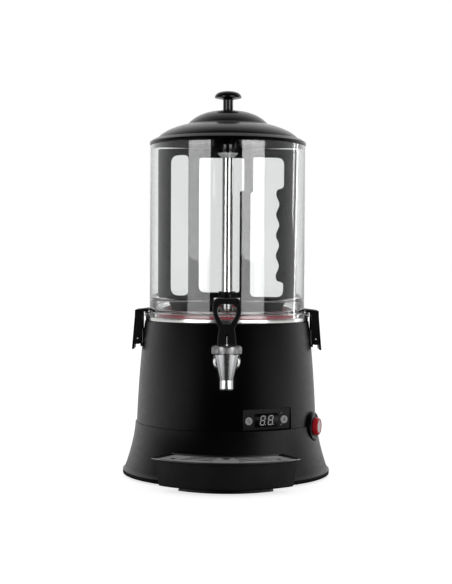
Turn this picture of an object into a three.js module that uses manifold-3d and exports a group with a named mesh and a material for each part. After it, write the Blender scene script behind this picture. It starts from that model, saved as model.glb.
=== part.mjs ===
// Hot chocolate dispenser: a heated base, a clear bowl with a stirring frame, a tap and a drip tray.
// Millimetres, +Z up, the tap faces -Y. The origin lies under the middle of the whole machine.
// Heights inside the machine group are measured from the underside of the skirt.

import * as THREE from 'three';
import { mergeVertices } from 'three/addons/utils/BufferGeometryUtils.js';
import Module from 'manifold-3d';

// General sizes
const seatGap = 0.3;
const runningGap = 0.5;
const overrun = 2;
const largeSides = 40;
const mediumSides = 20;
const smallSides = 10;
const hexSides = 6;
const rearAzimuth = 180;
const curveSteps = 4;

// Base plate, feet and plate screws
const plateEdgeInset = 4;
const plateThickness = 2;
const footRadius = 12;
const footHeight = 3;
const footCircleInset = 34;
const footCount = 4;
const plateScrewInset = 14;
const plateScrewRadius = 2;
const plateScrewHeadRadius = 4;
const plateScrewHeadHeight = 2.2;
const plateScrewLength = 7;

// Lower skirt
const skirtHeight = 77;
const skirtFootRadius = 156;
const skirtTopRadius = 137.5;
const skirtWall = 3;
const skirtFlareExponent = 1.55;
const skirtBandHeight = 6;
const skirtBandBevel = 3;
const skirtFlangeWidth = 18;
const skirtLedgeWidth = 6.5;

// Upper shell
const shellFootRadius = 135.5;
const shellTopRadius = 124;
const shellTopHeight = 229;
const shellWall = 3;
const shellBulgeRadiusShare = 0.7;
const shellBulgeHeightShare = 0.58;

// Steel product pan
const panRadius = 90;
const panWall = 2;
const panFloorDrop = 14;
const panRingRadius = 123;
const panRingWall = 2;
const panRingHeight = 6;

// Bowl and its gasket
const bowlRadius = 117.5;
const bowlWall = 3;
const bowlTopHeight = 494;
const bowlFlangeRadius = 124.6;
const bowlFlangeThickness = 6;
const bowlMouthRadius = 98;
const bowlConeRadius = 110;
const bowlConeHeight = 16.7;
const bowlLedgeRise = 5;
const gasketInnerRadius = 100;
const gasketWidth = 8;
const gasketHeight = 7.5;

// Stirring column, drive and heater
const columnRadius = 8.4;
const columnWall = 1.5;
const columnTopHeight = 473;
const columnFootDrop = 14;
const columnFlangeRadius = 16;
const columnFlangeThickness = 2;
const columnNutRadius = 14;
const columnNutHeight = 5;
const driveShaftRadius = 4;
const driveShaftEngagement = 17;
const gearboxLength = 80;
const gearboxDepth = 60;
const gearboxHeight = 35;
const motorRadius = 27.5;
const motorHeight = 48;
const motorBossRadius = 8;
const bridgeThickness = 3;
const bridgeDrop = 66;
const bridgeSpan = 106;
const bridgeDepth = 64;
const heaterInnerRadius = 50;
const heaterOuterRadius = 80;
const heaterHeight = 9;
const probeRadius = 3;
const probeLength = 22;
const probeOffset = 32;

// Stirring frame and its cap
const frameHalfWidth = 105.5;
const frameThickness = 4;
const frameTopHeight = 484;
const frameFootHeight = 262;
const frameCornerRadius = 9;
const windowCornerRadius = 8;
const leftWindowOuter = 85.9;
const leftWindowInner = 59.5;
const leftWindowTop = 478;
const leftWindowFootRise = 3;
const rightWindowFootRise = 2.2;
const middleWindowLeft = 43.1;
const middleWindowRight = 25;
const middleWindowStepIn = 6.3;
const windowStepHeight = 420;
const middleWindowFootRise = 8.3;
const middleWindowTop = 474.4;
const rightWindowInner = 38.8;
const rightWindowStepIn = 3.8;
const rightWindowOuter = 85.5;
const rightWindowTop = 476;
const waveFootRise = 19.8;
const waveInset = 9.2;
const waveDepth = 2.3;
const wavePitch = 31;
const waveCount = 5;
const waveSteps = 6;
const bladeShoulder = 93;
const bladeHalfWidth = 85;
const bladeShoulderHeight = 242;
const bladeGapHalfWidth = 20;
const bladeFloorGap = 2.5;
const hubRadius = 13;
const hubHeight = 16;
const capConeFootRadius = 9.5;
const capConeRadius = 15.8;
const capConeHeight = 6;
const capNeckRadius = 14;
const capTopHeight = 491;

// Lid, knob and knob screw, with heights from the underside of the brim
const lidBrimRadius = 118.5;
const lidBrimHeight = 4.5;
const lidShoulderRadius = 111.7;
const lidShoulderHeight = 9;
const lidDomeRadius = 107;
const lidDomeFootHeight = 10;
const lidCreaseRadius = 61;
const lidCreaseHeight = 33.8;
const lidTopHeight = 53.5;
const lidWall = 3;
const lidPlugClearance = 1.3;
const lidPlugDepth = 8;
const lidDomeControlRadiusShare = 0.82;
const lidDomeControlHeightShare = 0.63;
const lidCrownControlRadiusShare = 0.68;
const knobStemRadius = 7.6;
const knobStemHeight = 16.2;
const knobCapRadius = 20.5;
const knobEdgeHeight = 3;
const knobCapHeight = 13;
const knobScrewRadius = 2;
const knobScrewDepth = 12;
const knobScrewHeadRadius = 4;
const knobScrewHeadHeight = 2.5;

// Tap, with its axis in front of the machine axis
const tapStandOff = 24.7;
const tapSpoutDrop = 38.8;
const tapSpoutRadius = 9.8;
const tapSpoutLength = 13.8;
const tapConeFootRadius = 9.5;
const tapConeTopRadius = 17.5;
const tapConeHeight = 36.4;
const tapNeckRadius = 15;
const tapNeckHeight = 7.6;
const tapBoreRadius = 11;
const tapSeatDrop = 7;
const tapOutletRadius = 6;
const shankHeight = 178;
const shankRadius = 9;
const shankBoreRadius = 5.5;
const shankEndProud = 0.4;
const tapFlangeRadius = 19.5;
const tapFlangeThickness = 4;
const tapWallGap = 0.35;
const bonnetRadius = 21.5;
const bonnetHeight = 11.6;
const bonnetTopThickness = 4;
const bonnetLobeCount = 8;
const bonnetLobeRadius = 5;
const bonnetLobeDepth = 1.6;
const shankNutRadius = 15;
const shankNutThickness = 7;
const shellNutGap = 1.8;
const valvePlugHeight = 6;
const valveStemRadius = 3;
const valveStemRise = 36;
const valveStemFlat = 3.6;
const valveStemFlatHeight = 15.4;
const valveSpringRadius = 7.5;
const valveSpringWall = 1.6;

// Tap lever and its pin
const leverFootWidth = 26.7;
const leverFootDepth = 12.4;
const leverNeckWidth = 21;
const leverNeckHeight = 22.4;
const leverLoopWidth = 40;
const leverHeight = 66;
const leverLoopCentreDrop = 18;
const leverRingWidth = 6.6;
const leverHoleHeight = 27.3;
const leverHoleFootWidth = 10;
const leverSlotWidth = 4.6;
const leverSlotHeight = 15;
const leverPinRadius = 1.5;
const leverPinRise = 32;
const leverPinLength = 25.6;

// Control panel, set into the shell on its own flat
const panelAzimuth = 27;
const panelFaceReach = 127;
const panelWidth = 78;
const panelHeight = 31;
const panelThickness = 3;
const displayWidth = 38;
const displayHeight = 19;
const displayProud = 0.4;
const keyRadius = 5.75;
const keyProud = 0.9;
const keyShoulderRadius = 7;
const keyShoulderThickness = 2;
const keyBackGap = 0.9;
const keyOffset = 28.8;
const keyCentreRise = 14;
const keyTravel = 0.7;
const boardThickness = 1.6;
const boardWidth = 72;
const boardHeight = 28;
const boardStandoff = 10;
const standoffRadius = 2.5;
const standoffOffset = 20.5;
const boardSwitchRadius = 2.5;
const terminalLength = 40;
const terminalWidth = 18;
const terminalHeight = 16;
const terminalPlace = [-45, 95];

// Power switch on the right flank
const powerAzimuth = 69.3;
const powerHeight = 75.3;
const powerBezelRadius = 21.4;
const powerBezelFoot = 125;
const powerBezelFace = 141;
const powerBezelFloor = 3;
const powerCapRadius = 13;
const powerCapFace = 148;
const powerTravel = 3;
const powerPlungerRadius = 4;
const powerPlungerLength = 12;
const powerBodyRadius = 11;
const powerBodyLength = 24;

// Cable gland at the rear
const glandHeight = 35;
const glandHexRadius = 10;
const glandHexLength = 3;
const glandWallGap = 0.8;
const glandNoseRadius = 7;
const glandNoseLength = 4;
const glandShankRadius = 6;
const glandBoreRadius = 3.5;
const glandShankProud = 3.6;
const glandNutGap = 1.6;
const glandNutLength = 5;

// Side latches, with sizes from the latch pin
const latchSpringGap = 0.5;
const latchPinRise = 12.4;
const latchWidth = 44;
const latchLipGap = 0.7;
const latchLipDepth = 5.5;
const latchLipSlope = 2.4;
const latchLipBowlGap = 1.1;
const latchPlateTopProud = 5.1;
const latchPlateFootProud = 9.4;
const latchPlateThickness = 3.2;
const latchTailDrop = 16.4;
const latchCheekThickness = 3;
const latchCheekFlangeGap = 2.4;
const latchCheekFootInset = 2.2;
const latchCheekDrop = 8.6;
const latchCheekChamfer = 5.4;
const latchPinRadius = 1.6;
const bracketFootDrop = 39.3;
const bracketHeight = 25;
const bracketWidth = 34;
const bracketBaseThickness = 1.4;
const bracketEarThickness = 3;
const bracketEarProud = 3.6;
const latchSpringRadius = 2.8;
const latchSpringLength = 20;

// Drip tray and its grille
const trayFrontRadius = 144;
const trayDepth = 56.6;
const trayCornerWidth = 105;
const trayRearWidth = 80;
const trayTopHeight = 45;
const trayRimThickness = 3;
const trayRimOverhang = 4;
const trayDraft = 3;
const trayBendHeight = 10;
const trayFloorHeight = 5.5;
const trayFloorInset = 14;
const trayPlinthInset = 38;
const trayWall = 2.5;
const trayLedgeWidth = 3;
const trayGap = 0.6;
const trayArcSteps = 8;
const grilleThickness = 2;
const grilleSink = 2.4;
const grilleCentreInset = 52.6;
const grilleHoleRadius = 6.5;
const grilleSlotWidth = 5;
const grilleSlotPitch = 15;
const grilleSlotCount = 3;
const grilleSlotHalfAngle = 32;
const grilleDrainRadius = 4;
const grilleDrainReach = 74;

// Places that follow from the sizes above
const degree = Math.PI / 180;
const flangeFootHeight = plateThickness + seatGap;
const plateRadius = skirtFootRadius - plateEdgeInset;
const footCircleRadius = skirtFootRadius - footCircleInset;
const plateScrewCircleRadius = skirtFootRadius - plateScrewInset;
const shellFootHeight = skirtHeight + seatGap;
const panFloorHeight = shankHeight - panFloorDrop;
const columnFootHeight = panFloorHeight - columnFootDrop;
const bridgeLegHeight = panFloorHeight - bridgeDrop;
const panFloorTop = panFloorHeight + panWall;
const panFlangeHeight = shellTopHeight + seatGap;
const panRingTop = panFlangeHeight + panRingHeight;
const bowlFootHeight = panRingTop + seatGap;
const bowlFlangeTop = bowlFootHeight + bowlFlangeThickness;
const lidBaseHeight = bowlTopHeight + seatGap;
const tapFlangeReach = shellRadius(shankHeight - tapFlangeRadius) + tapWallGap + tapFlangeThickness;
const shellNutReach = shellRadius(shankHeight + shankNutRadius) - shellWall - shellNutGap;
const shankEndReach = panRadius - panWall - shankEndProud;
const tapReach = tapFlangeReach + tapStandOff;
const tapSpoutFoot = shankHeight - tapSpoutDrop;
const tapSeatHeight = shankHeight - tapSeatDrop;
const valveStemTop = shankHeight + valveStemRise;
const leverPinHeight = shankHeight + leverPinRise;
const leftWindowFoot = frameFootHeight + leftWindowFootRise;
const rightWindowFoot = frameFootHeight + rightWindowFootRise;
const middleWindowFoot = frameFootHeight + middleWindowFootRise;
const waveFootHeight = rightWindowFoot + waveFootRise;
const bracketFootHeight = panFlangeHeight - bracketFootDrop;
const latchPinHeight = bracketFootHeight + latchPinRise;
const latchPinReach = bracketReach() + bracketBaseThickness + latchSpringRadius + latchSpringGap;
const latchLipReach = bowlRadius + latchLipBowlGap;
const latchPlateTopReach = latchPinReach + latchPlateTopProud;
const latchPlateFootReach = latchPinReach + latchPlateFootProud;
const latchCheekTopReach = bowlFlangeRadius + latchCheekFlangeGap;
const latchCheekFootReach = latchPinReach - latchCheekFootInset;
const bracketEarReach = latchPinReach + bracketEarProud;
const glandHexReach = skirtRadius(glandHeight - glandHexRadius) + glandWallGap;
const glandReach = glandHexReach + glandHexLength + glandNoseLength;
const glandNutReach = skirtRadius(glandHeight + glandHexRadius) - skirtWall - glandNutGap;
const glandShankFoot = glandNutReach - glandNutLength - glandShankProud;
const trayFrontReach = skirtFootRadius + trayDepth;
const trayFrontCentre = trayFrontReach - trayFrontRadius;
const grilleCentreReach = trayFrontReach - grilleCentreInset;
const machineShift = (trayFrontReach - skirtFootRadius) / 2;
const grilleFootHeight = trayTopHeight - grilleSink - grilleThickness;
const tapNeckTop = tapSpoutFoot + tapSpoutLength + tapConeHeight + tapNeckHeight;
const bonnetFootHeight = tapNeckTop - tapNeckHeight + seatGap;
const bonnetTopHeight = bonnetFootHeight + bonnetHeight;
const leverFootHeight = bonnetTopHeight + seatGap;
const powerPlungerFoot = powerBezelFoot + powerBezelFloor + powerTravel + runningGap - powerPlungerLength;

// Surface colours and finishes
const satinBlack = new THREE.MeshStandardMaterial({ color: 0x141415, roughness: 0.45, metalness: 0 });
const gloss = new THREE.MeshStandardMaterial({ color: 0x0c0c0d, roughness: 0.25, metalness: 0 });
const rubber = new THREE.MeshStandardMaterial({ color: 0x1b1b1b, roughness: 0.85, metalness: 0 });
const steel = new THREE.MeshStandardMaterial({ color: 0xc9c9c6, roughness: 0.3, metalness: 1 });
const castChrome = new THREE.MeshStandardMaterial({ color: 0xb9bab9, roughness: 0.35, metalness: 1 });
const clear = new THREE.MeshStandardMaterial({ color: 0xf2f4f5, roughness: 0.05, metalness: 0 });
const redSilicone = new THREE.MeshStandardMaterial({ color: 0xb23a44, roughness: 0.5, metalness: 0 });
const redLens = new THREE.MeshStandardMaterial({ color: 0xd0202a, roughness: 0.2, metalness: 0 });
const paleKey = new THREE.MeshStandardMaterial({ color: 0x9a9b9c, roughness: 0.5, metalness: 0 });
const greenBoard = new THREE.MeshStandardMaterial({ color: 0x1f5a35, roughness: 0.6, metalness: 0 });
const motorGrey = new THREE.MeshStandardMaterial({ color: 0x6d6f71, roughness: 0.5, metalness: 0.6 });
const whiteNylon = new THREE.MeshStandardMaterial({ color: 0xdedcd4, roughness: 0.6, metalness: 0 });

const wasm = await Module();
wasm.setup();

const weldTolerance = 1e-3;

// Welds a closed geometry, drops flat triangles and turns its faces outward
function toSolid(geometry) {
  const bare = geometry.clone();
  bare.deleteAttribute('normal');
  bare.deleteAttribute('uv');
  const welded = mergeVertices(bare, weldTolerance);
  const places = welded.getAttribute('position').array;
  const corners = [];
  let volume = 0;
  for (let i = 0; i < welded.index.count; i += 3) {
    const triangle = [0, 1, 2].map((k) => welded.index.getX(i + k));
    if (new Set(triangle).size < 3) continue;
    corners.push(triangle);
    const [a, b, c] = triangle.map((n) => new THREE.Vector3().fromArray(places, n * 3));
    volume += a.dot(b.cross(c));
  }
  const outward = volume < 0 ? corners.map(([a, b, c]) => [a, c, b]) : corners;
  const mesh = new wasm.Mesh({
    numProp: 3,
    vertProperties: new Float32Array(places),
    triVerts: new Uint32Array(outward.flat()),
  });
  return new wasm.Manifold(mesh);
}

// Gives the vertices and triangles of a solid back as a geometry
function fromSolid(solid) {
  const mesh = solid.getMesh();
  const geometry = new THREE.BufferGeometry();
  geometry.setAttribute('position', new THREE.BufferAttribute(mesh.vertProperties, 3));
  geometry.setIndex(new THREE.BufferAttribute(mesh.triVerts, 1));
  geometry.computeVertexNormals();
  return geometry;
}

function cut(body, ...tools) {
  return fromSolid(tools.reduce((solid, tool) => solid.subtract(toSolid(tool)), toSolid(body)));
}

function join(...bodies) {
  return fromSolid(bodies.slice(1).reduce((solid, body) => solid.add(toSolid(body)), toSolid(bodies[0])));
}

// Turns a profile of radius and height pairs about the vertical axis
function turn(profile, sides) {
  const points = profile.map(([radius, height]) => new THREE.Vector2(radius, height));
  return new THREE.LatheGeometry(points, sides).rotateX(Math.PI / 2);
}

// A ring or tube between two radii and two heights
function ring(innerRadius, outerRadius, foot, top, sides) {
  const profile = [[innerRadius, foot], [outerRadius, foot], [outerRadius, top], [innerRadius, top]];
  return turn([...profile, profile[0]], sides);
}

// An upright round bar
function rod(radius, foot, top, sides) {
  return turn([[0, foot], [radius, foot], [radius, top], [0, top]], sides);
}

// A block between two opposite corners
function block([x0, y0, z0], [x1, y1, z1]) {
  const geometry = new THREE.BoxGeometry(x1 - x0, y1 - y0, z1 - z0);
  return geometry.translate((x0 + x1) / 2, (y0 + y1) / 2, (z0 + z1) / 2);
}

// Lays an upright body down so that its height points to the front, and lifts it to a height
function layForward(geometry, height) {
  return geometry.rotateX(Math.PI / 2).translate(0, 0, height);
}

// Turns a body that faces the front about the machine axis
function faceAzimuth(geometry, azimuth) {
  return geometry.rotateZ(azimuth * degree);
}

// Points of a curve with one control point, as radius and height pairs
function bend(start, control, end) {
  const [a, b, c] = [start, control, end].map(([x, y]) => new THREE.Vector2(x, y));
  return new THREE.QuadraticBezierCurve(a, b, c).getPoints(curveSteps).map((p) => [p.x, p.y]);
}

const machine = new THREE.Group();
machine.position.set(0, machineShift, footHeight);

// Adds a named piece to a group
function addPiece(name, geometry, material, parent = machine) {
  const mesh = new THREE.Mesh(geometry, material);
  mesh.name = name;
  parent.add(mesh);
  return mesh;
}

// Radius of the skirt's outside at a height
function skirtRadius(height) {
  if (height < skirtBandHeight + skirtBandBevel) return skirtFootRadius;
  const rise = THREE.MathUtils.clamp(1 - height / skirtHeight, 0, 1);
  return skirtTopRadius + (skirtFootRadius - skirtTopRadius) * rise ** skirtFlareExponent;
}

// Points on the shell's outside from its foot to its top, drawn in by an inset
function shellCurve(inset) {
  const width = shellFootRadius - shellTopRadius;
  const bulge = shellTopRadius + width * shellBulgeRadiusShare;
  const bulgeHeight = shellFootHeight + (shellTopHeight - shellFootHeight) * shellBulgeHeightShare;
  const start = [shellFootRadius - inset, shellFootHeight];
  return bend(start, [bulge - inset, bulgeHeight], [shellTopRadius - inset, shellTopHeight]);
}

// Places on a circle about the machine axis, halfway between the main directions
function cornerPlaces(radius) {
  const angles = Array.from({ length: footCount }, (_, i) => ((i + 0.5) * 2 * Math.PI) / footCount);
  return angles.map((angle) => [Math.cos(angle) * radius, Math.sin(angle) * radius]);
}

function makeBottomPlate() {
  const screwHoles = cornerPlaces(plateScrewCircleRadius).map(([x, y]) => {
    const hole = rod(plateScrewRadius + seatGap, -overrun, flangeFootHeight + overrun * 2, smallSides);
    return hole.translate(x, y, 0);
  });
  addPiece('bottom_plate', cut(rod(plateRadius, 0, plateThickness, largeSides), ...screwHoles), satinBlack);
  cornerPlaces(footCircleRadius).forEach(([x, y], i) => {
    const foot = rod(footRadius, -footHeight, -seatGap, mediumSides);
    addPiece(`rubber_foot_${i + 1}`, foot, rubber).position.set(x, y, 0);
  });
  const [head, neck, tip] = [-plateScrewHeadHeight - seatGap, -seatGap, plateScrewLength - seatGap];
  const screwProfile = [
    [0, head], [plateScrewHeadRadius, head], [plateScrewHeadRadius, neck],
    [plateScrewRadius, neck], [plateScrewRadius, tip], [0, tip],
  ];
  cornerPlaces(plateScrewCircleRadius).forEach(([x, y], i) => {
    addPiece(`plate_screw_${i + 1}`, turn(screwProfile, smallSides), steel).position.set(x, y, 0);
  });
  return screwHoles;
}

function makeLowerSkirt(screwHoles) {
  const bandTop = skirtBandHeight + skirtBandBevel;
  const flangeTop = flangeFootHeight + skirtWall;
  const ledgeFoot = skirtHeight - skirtWall;
  const rises = Array.from({ length: curveSteps + 1 }, (_, i) => i / curveSteps);
  const outside = rises.map((t) => bandTop + (skirtHeight - bandTop) * t).map((z) => [skirtRadius(z), z]);
  const inside = rises.map((t) => ledgeFoot + (flangeTop - ledgeFoot) * t)
    .map((z) => [skirtRadius(z) - skirtWall, z]);
  const flangeInner = skirtFootRadius - skirtWall - skirtFlangeWidth;
  const ledgeInner = skirtTopRadius - skirtWall - skirtLedgeWidth;
  const footInner = skirtFootRadius - skirtWall;
  const profile = [
    [skirtFootRadius, 0], [skirtFootRadius, skirtBandHeight], ...outside,
    [ledgeInner, skirtHeight], [ledgeInner, ledgeFoot], ...inside,
    [flangeInner, flangeTop], [flangeInner, flangeFootHeight],
    [footInner, flangeFootHeight], [footInner, 0], [skirtFootRadius, 0],
  ];
  const glandHole = layForward(rod(glandShankRadius + seatGap, -skirtFootRadius, 0, smallSides), glandHeight);
  const skirt = cut(turn(profile, largeSides), ...screwHoles, glandHole, powerHole());
  addPiece('lower_skirt', skirt, satinBlack);
}

// Room for the power switch through the skirt and the shell
function powerHole() {
  const hole = rod(powerBezelRadius + seatGap, powerBezelFoot - overrun, skirtFootRadius, mediumSides);
  return faceAzimuth(layForward(hole, powerHeight), powerAzimuth);
}

function makeUpperShell() {
  const outside = shellCurve(0);
  const inside = shellCurve(shellWall).reverse();
  const body = turn([...outside, ...inside, outside[0]], largeSides);
  const shankHole = layForward(rod(shankRadius + seatGap, 0, skirtFootRadius, mediumSides), shankHeight);
  const half = panelWidth / 2 + seatGap;
  const panelBack = panelFaceReach - panelThickness - seatGap;
  const panelTop = shellFootHeight + panelHeight + seatGap;
  const recess = block([-half, -skirtFootRadius, 0], [half, -panelBack, panelTop]);
  const shell = cut(body, shankHole, faceAzimuth(recess, panelAzimuth), powerHole());
  addPiece('upper_shell', shell, satinBlack);
}

function makeProductPan() {
  const ringInner = panRingRadius - panRingWall;
  const wallInner = panRadius - panWall;
  const flangeTop = panFlangeHeight + panWall;
  const profile = [
    [0, panFloorHeight], [panRadius, panFloorHeight], [panRadius, panFlangeHeight],
    [panRingRadius, panFlangeHeight], [panRingRadius, panRingTop], [ringInner, panRingTop],
    [ringInner, flangeTop], [wallInner, flangeTop], [wallInner, panFloorTop], [0, panFloorTop],
  ];
  const shankHole = layForward(rod(shankRadius + seatGap, 0, panRadius + overrun, mediumSides), shankHeight);
  const columnHole = rod(columnRadius + seatGap, panFloorHeight - overrun, panFloorTop + overrun, mediumSides);
  addPiece('product_pan', cut(turn(profile, largeSides), shankHole, columnHole), steel);
}

function makeBowl() {
  const inner = bowlRadius - bowlWall;
  const gasketOuter = gasketInnerRadius + gasketWidth;
  const gasketFoot = panFlangeHeight + panWall + seatGap;
  const grooveTop = gasketFoot + gasketHeight + seatGap;
  const profile = [
    [bowlMouthRadius, bowlFootHeight], [gasketInnerRadius - seatGap, bowlFootHeight],
    [gasketInnerRadius - seatGap, grooveTop], [gasketOuter + seatGap, grooveTop],
    [gasketOuter + seatGap, bowlFootHeight], [bowlFlangeRadius, bowlFootHeight],
    [bowlFlangeRadius, bowlFlangeTop], [bowlRadius, bowlFlangeTop],
    [bowlRadius, bowlTopHeight], [inner, bowlTopHeight],
    [inner, bowlFlangeTop + bowlConeHeight + bowlLedgeRise],
    [bowlConeRadius, bowlFlangeTop + bowlConeHeight], [bowlMouthRadius, bowlFlangeTop],
    [bowlMouthRadius, bowlFootHeight],
  ];
  addPiece('bowl', turn(profile, largeSides), clear);
  const gasket = ring(gasketInnerRadius, gasketOuter, gasketFoot, gasketFoot + gasketHeight, largeSides);
  addPiece('bowl_gasket', gasket, redSilicone);
}

// A six-sided nut about the vertical axis
function hexNut(radius, bore, foot, top) {
  return cut(rod(radius, foot, top, 6), rod(bore, foot - overrun, top + overrun, mediumSides));
}

function makeColumn() {
  const inner = columnRadius - columnWall;
  const flangeFoot = panFloorTop + seatGap;
  const flangeTop = flangeFoot + columnFlangeThickness;
  const profile = [
    [inner, columnFootHeight], [columnRadius, columnFootHeight], [columnRadius, flangeFoot],
    [columnFlangeRadius, flangeFoot], [columnFlangeRadius, flangeTop], [columnRadius, flangeTop],
    [columnRadius, columnTopHeight], [inner, columnTopHeight], [inner, columnFootHeight],
  ];
  addPiece('column_tube', turn(profile, mediumSides), steel);
  const nutTop = panFloorHeight - seatGap;
  const nut = hexNut(columnNutRadius, columnRadius + seatGap, nutTop - columnNutHeight, nutTop);
  addPiece('column_nut', nut, steel);
}

function makeHeater() {
  const top = panFloorHeight - seatGap;
  const heater = ring(heaterInnerRadius, heaterOuterRadius, top - heaterHeight, top, mediumSides);
  addPiece('heater_ring', heater, motorGrey);
  const probe = rod(probeRadius, top - probeLength, top, smallSides);
  addPiece('temperature_probe', probe, steel).position.set(0, probeOffset, 0);
}

// Inverted bridge on the bottom plate, with the motor under its top and the gearbox on it
function makeDrive() {
  const foot = plateThickness + seatGap;
  const deck = foot + bridgeLegHeight;
  const deckTop = deck + bridgeThickness;
  const [halfSpan, halfDepth] = [bridgeSpan / 2, bridgeDepth / 2];
  const outer = block([-halfSpan, -halfDepth, foot], [halfSpan, halfDepth, deckTop]);
  const room = halfSpan - bridgeThickness;
  const inner = block([-room, -halfDepth - overrun, foot - overrun], [room, halfDepth + overrun, deck]);
  const deckHole = rod(motorBossRadius + runningGap, deck - overrun, deckTop + overrun, mediumSides);
  addPiece('motor_bridge', cut(outer, inner, deckHole), steel);
  const canTop = deck - seatGap;
  const bossTop = deckTop;
  const motor = turn([
    [0, canTop - motorHeight], [motorRadius, canTop - motorHeight], [motorRadius, canTop],
    [motorBossRadius, canTop], [motorBossRadius, bossTop], [0, bossTop],
  ], mediumSides);
  addPiece('motor', motor, motorGrey);
  const boxFoot = deckTop + seatGap;
  const boxTop = boxFoot + gearboxHeight;
  const [halfLength, halfBox] = [gearboxLength / 2, gearboxDepth / 2];
  const box = block([-halfLength, -halfBox, boxFoot], [halfLength, halfBox, boxTop]);
  const socketFoot = boxTop - driveShaftEngagement - runningGap;
  const socket = rod(driveShaftRadius + runningGap, socketFoot, boxTop + overrun, smallSides);
  addPiece('gearbox', cut(box, socket), motorGrey);
  const shaft = rod(driveShaftRadius, boxTop - driveShaftEngagement, frameSlotFoot(), smallSides);
  addPiece('drive_shaft', shaft, steel);
}

// Underside of the top bar where the cap sits over it
function frameSlotFoot() {
  return middleWindowTop - seatGap;
}

// Adds a closed window to an outline, with its corners rounded
function roundedWindow(corners, radius) {
  const window = new THREE.Path();
  const count = corners.length;
  corners.forEach((corner, i) => {
    const here = new THREE.Vector2(...corner);
    const before = new THREE.Vector2(...corners[(i + count - 1) % count]);
    const after = new THREE.Vector2(...corners[(i + 1) % count]);
    const reach = Math.min(radius, here.distanceTo(before) / 3, here.distanceTo(after) / 3);
    const enter = here.clone().add(before.sub(here).setLength(reach));
    const leave = here.clone().add(after.sub(here).setLength(reach));
    if (i === 0) window.moveTo(enter.x, enter.y);
    else window.lineTo(enter.x, enter.y);
    window.quadraticCurveTo(here.x, here.y, leave.x, leave.y);
  });
  window.closePath();
  return window;
}

// Right window, with a waved outer edge between its corners
function wavedWindow() {
  const lower = rightWindowInner - rightWindowStepIn;
  const length = wavePitch * (waveCount - 0.5);
  const count = waveSteps * waveCount;
  const window = new THREE.Path();
  const waveEdge = rightWindowOuter - waveInset;
  const waveTop = waveFootHeight + length;
  window.moveTo(lower, rightWindowFoot);
  window.lineTo(rightWindowOuter - windowCornerRadius, rightWindowFoot);
  window.quadraticCurveTo(rightWindowOuter, rightWindowFoot, rightWindowOuter, waveFootHeight - waveDepth);
  for (let i = 0; i < count; i += 1) {
    const along = (i + 0.5) / count;
    const x = waveEdge - waveDepth * Math.sin(along * (waveCount - 0.5) * 2 * Math.PI);
    window.lineTo(x, waveFootHeight + length * along);
  }
  window.quadraticCurveTo(rightWindowOuter, waveTop + waveDepth, rightWindowOuter, waveTop + waveInset);
  window.lineTo(rightWindowOuter, rightWindowTop - windowCornerRadius);
  window.quadraticCurveTo(
    rightWindowOuter, rightWindowTop, rightWindowOuter - windowCornerRadius, rightWindowTop,
  );
  window.lineTo(rightWindowInner, rightWindowTop);
  window.lineTo(rightWindowInner, windowStepHeight);
  window.lineTo(lower, windowStepHeight - rightWindowStepIn);
  window.closePath();
  return window;
}

function makeStirringFrame() {
  const bladeFoot = panFloorTop + bladeFloorGap;
  const outline = new THREE.Shape();
  const cornerIn = frameHalfWidth - frameCornerRadius;
  const cornerUp = frameFootHeight + frameCornerRadius;
  outline.moveTo(-frameHalfWidth, frameTopHeight);
  outline.lineTo(-frameHalfWidth, cornerUp);
  outline.quadraticCurveTo(-frameHalfWidth, frameFootHeight, -cornerIn, frameFootHeight);
  outline.lineTo(-bladeShoulder, frameFootHeight);
  outline.lineTo(-bladeHalfWidth, bladeShoulderHeight);
  outline.lineTo(-bladeHalfWidth, bladeFoot);
  outline.lineTo(-bladeGapHalfWidth, bladeFoot);
  outline.lineTo(-bladeGapHalfWidth, frameFootHeight);
  outline.lineTo(bladeGapHalfWidth, frameFootHeight);
  outline.lineTo(bladeGapHalfWidth, bladeFoot);
  outline.lineTo(bladeHalfWidth, bladeFoot);
  outline.lineTo(bladeHalfWidth, bladeShoulderHeight);
  outline.lineTo(bladeShoulder, frameFootHeight);
  outline.lineTo(cornerIn, frameFootHeight);
  outline.quadraticCurveTo(frameHalfWidth, frameFootHeight, frameHalfWidth, cornerUp);
  outline.lineTo(frameHalfWidth, frameTopHeight);
  outline.closePath();
  outline.holes.push(roundedWindow([
    [-leftWindowOuter, leftWindowFoot], [-leftWindowInner, leftWindowFoot],
    [-leftWindowInner, leftWindowTop], [-leftWindowOuter, leftWindowTop],
  ], windowCornerRadius));
  const stepIn = middleWindowRight - middleWindowStepIn;
  outline.holes.push(roundedWindow([
    [-middleWindowLeft, middleWindowFoot], [stepIn, middleWindowFoot], [stepIn, windowStepHeight],
    [middleWindowRight, windowStepHeight], [middleWindowRight, middleWindowTop],
    [-middleWindowLeft, middleWindowTop],
  ], windowCornerRadius / 2));
  outline.holes.push(wavedWindow());
  const settings = { depth: frameThickness, bevelEnabled: false, curveSegments: curveSteps };
  const plate = new THREE.ExtrudeGeometry(outline, settings);
  plate.rotateX(Math.PI / 2).translate(0, frameThickness / 2, 0);
  const hubMiddle = (frameFootHeight + middleWindowFoot) / 2;
  const [hubFoot, hubTop] = [hubMiddle - hubHeight / 2, hubMiddle + hubHeight / 2];
  const bore = rod(columnRadius + runningGap, hubFoot - overrun, hubTop + overrun, mediumSides);
  const frame = cut(join(plate, rod(hubRadius, hubFoot, hubTop, mediumSides)), bore);
  addPiece('agitator_frame', frame, gloss);
}

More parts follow.
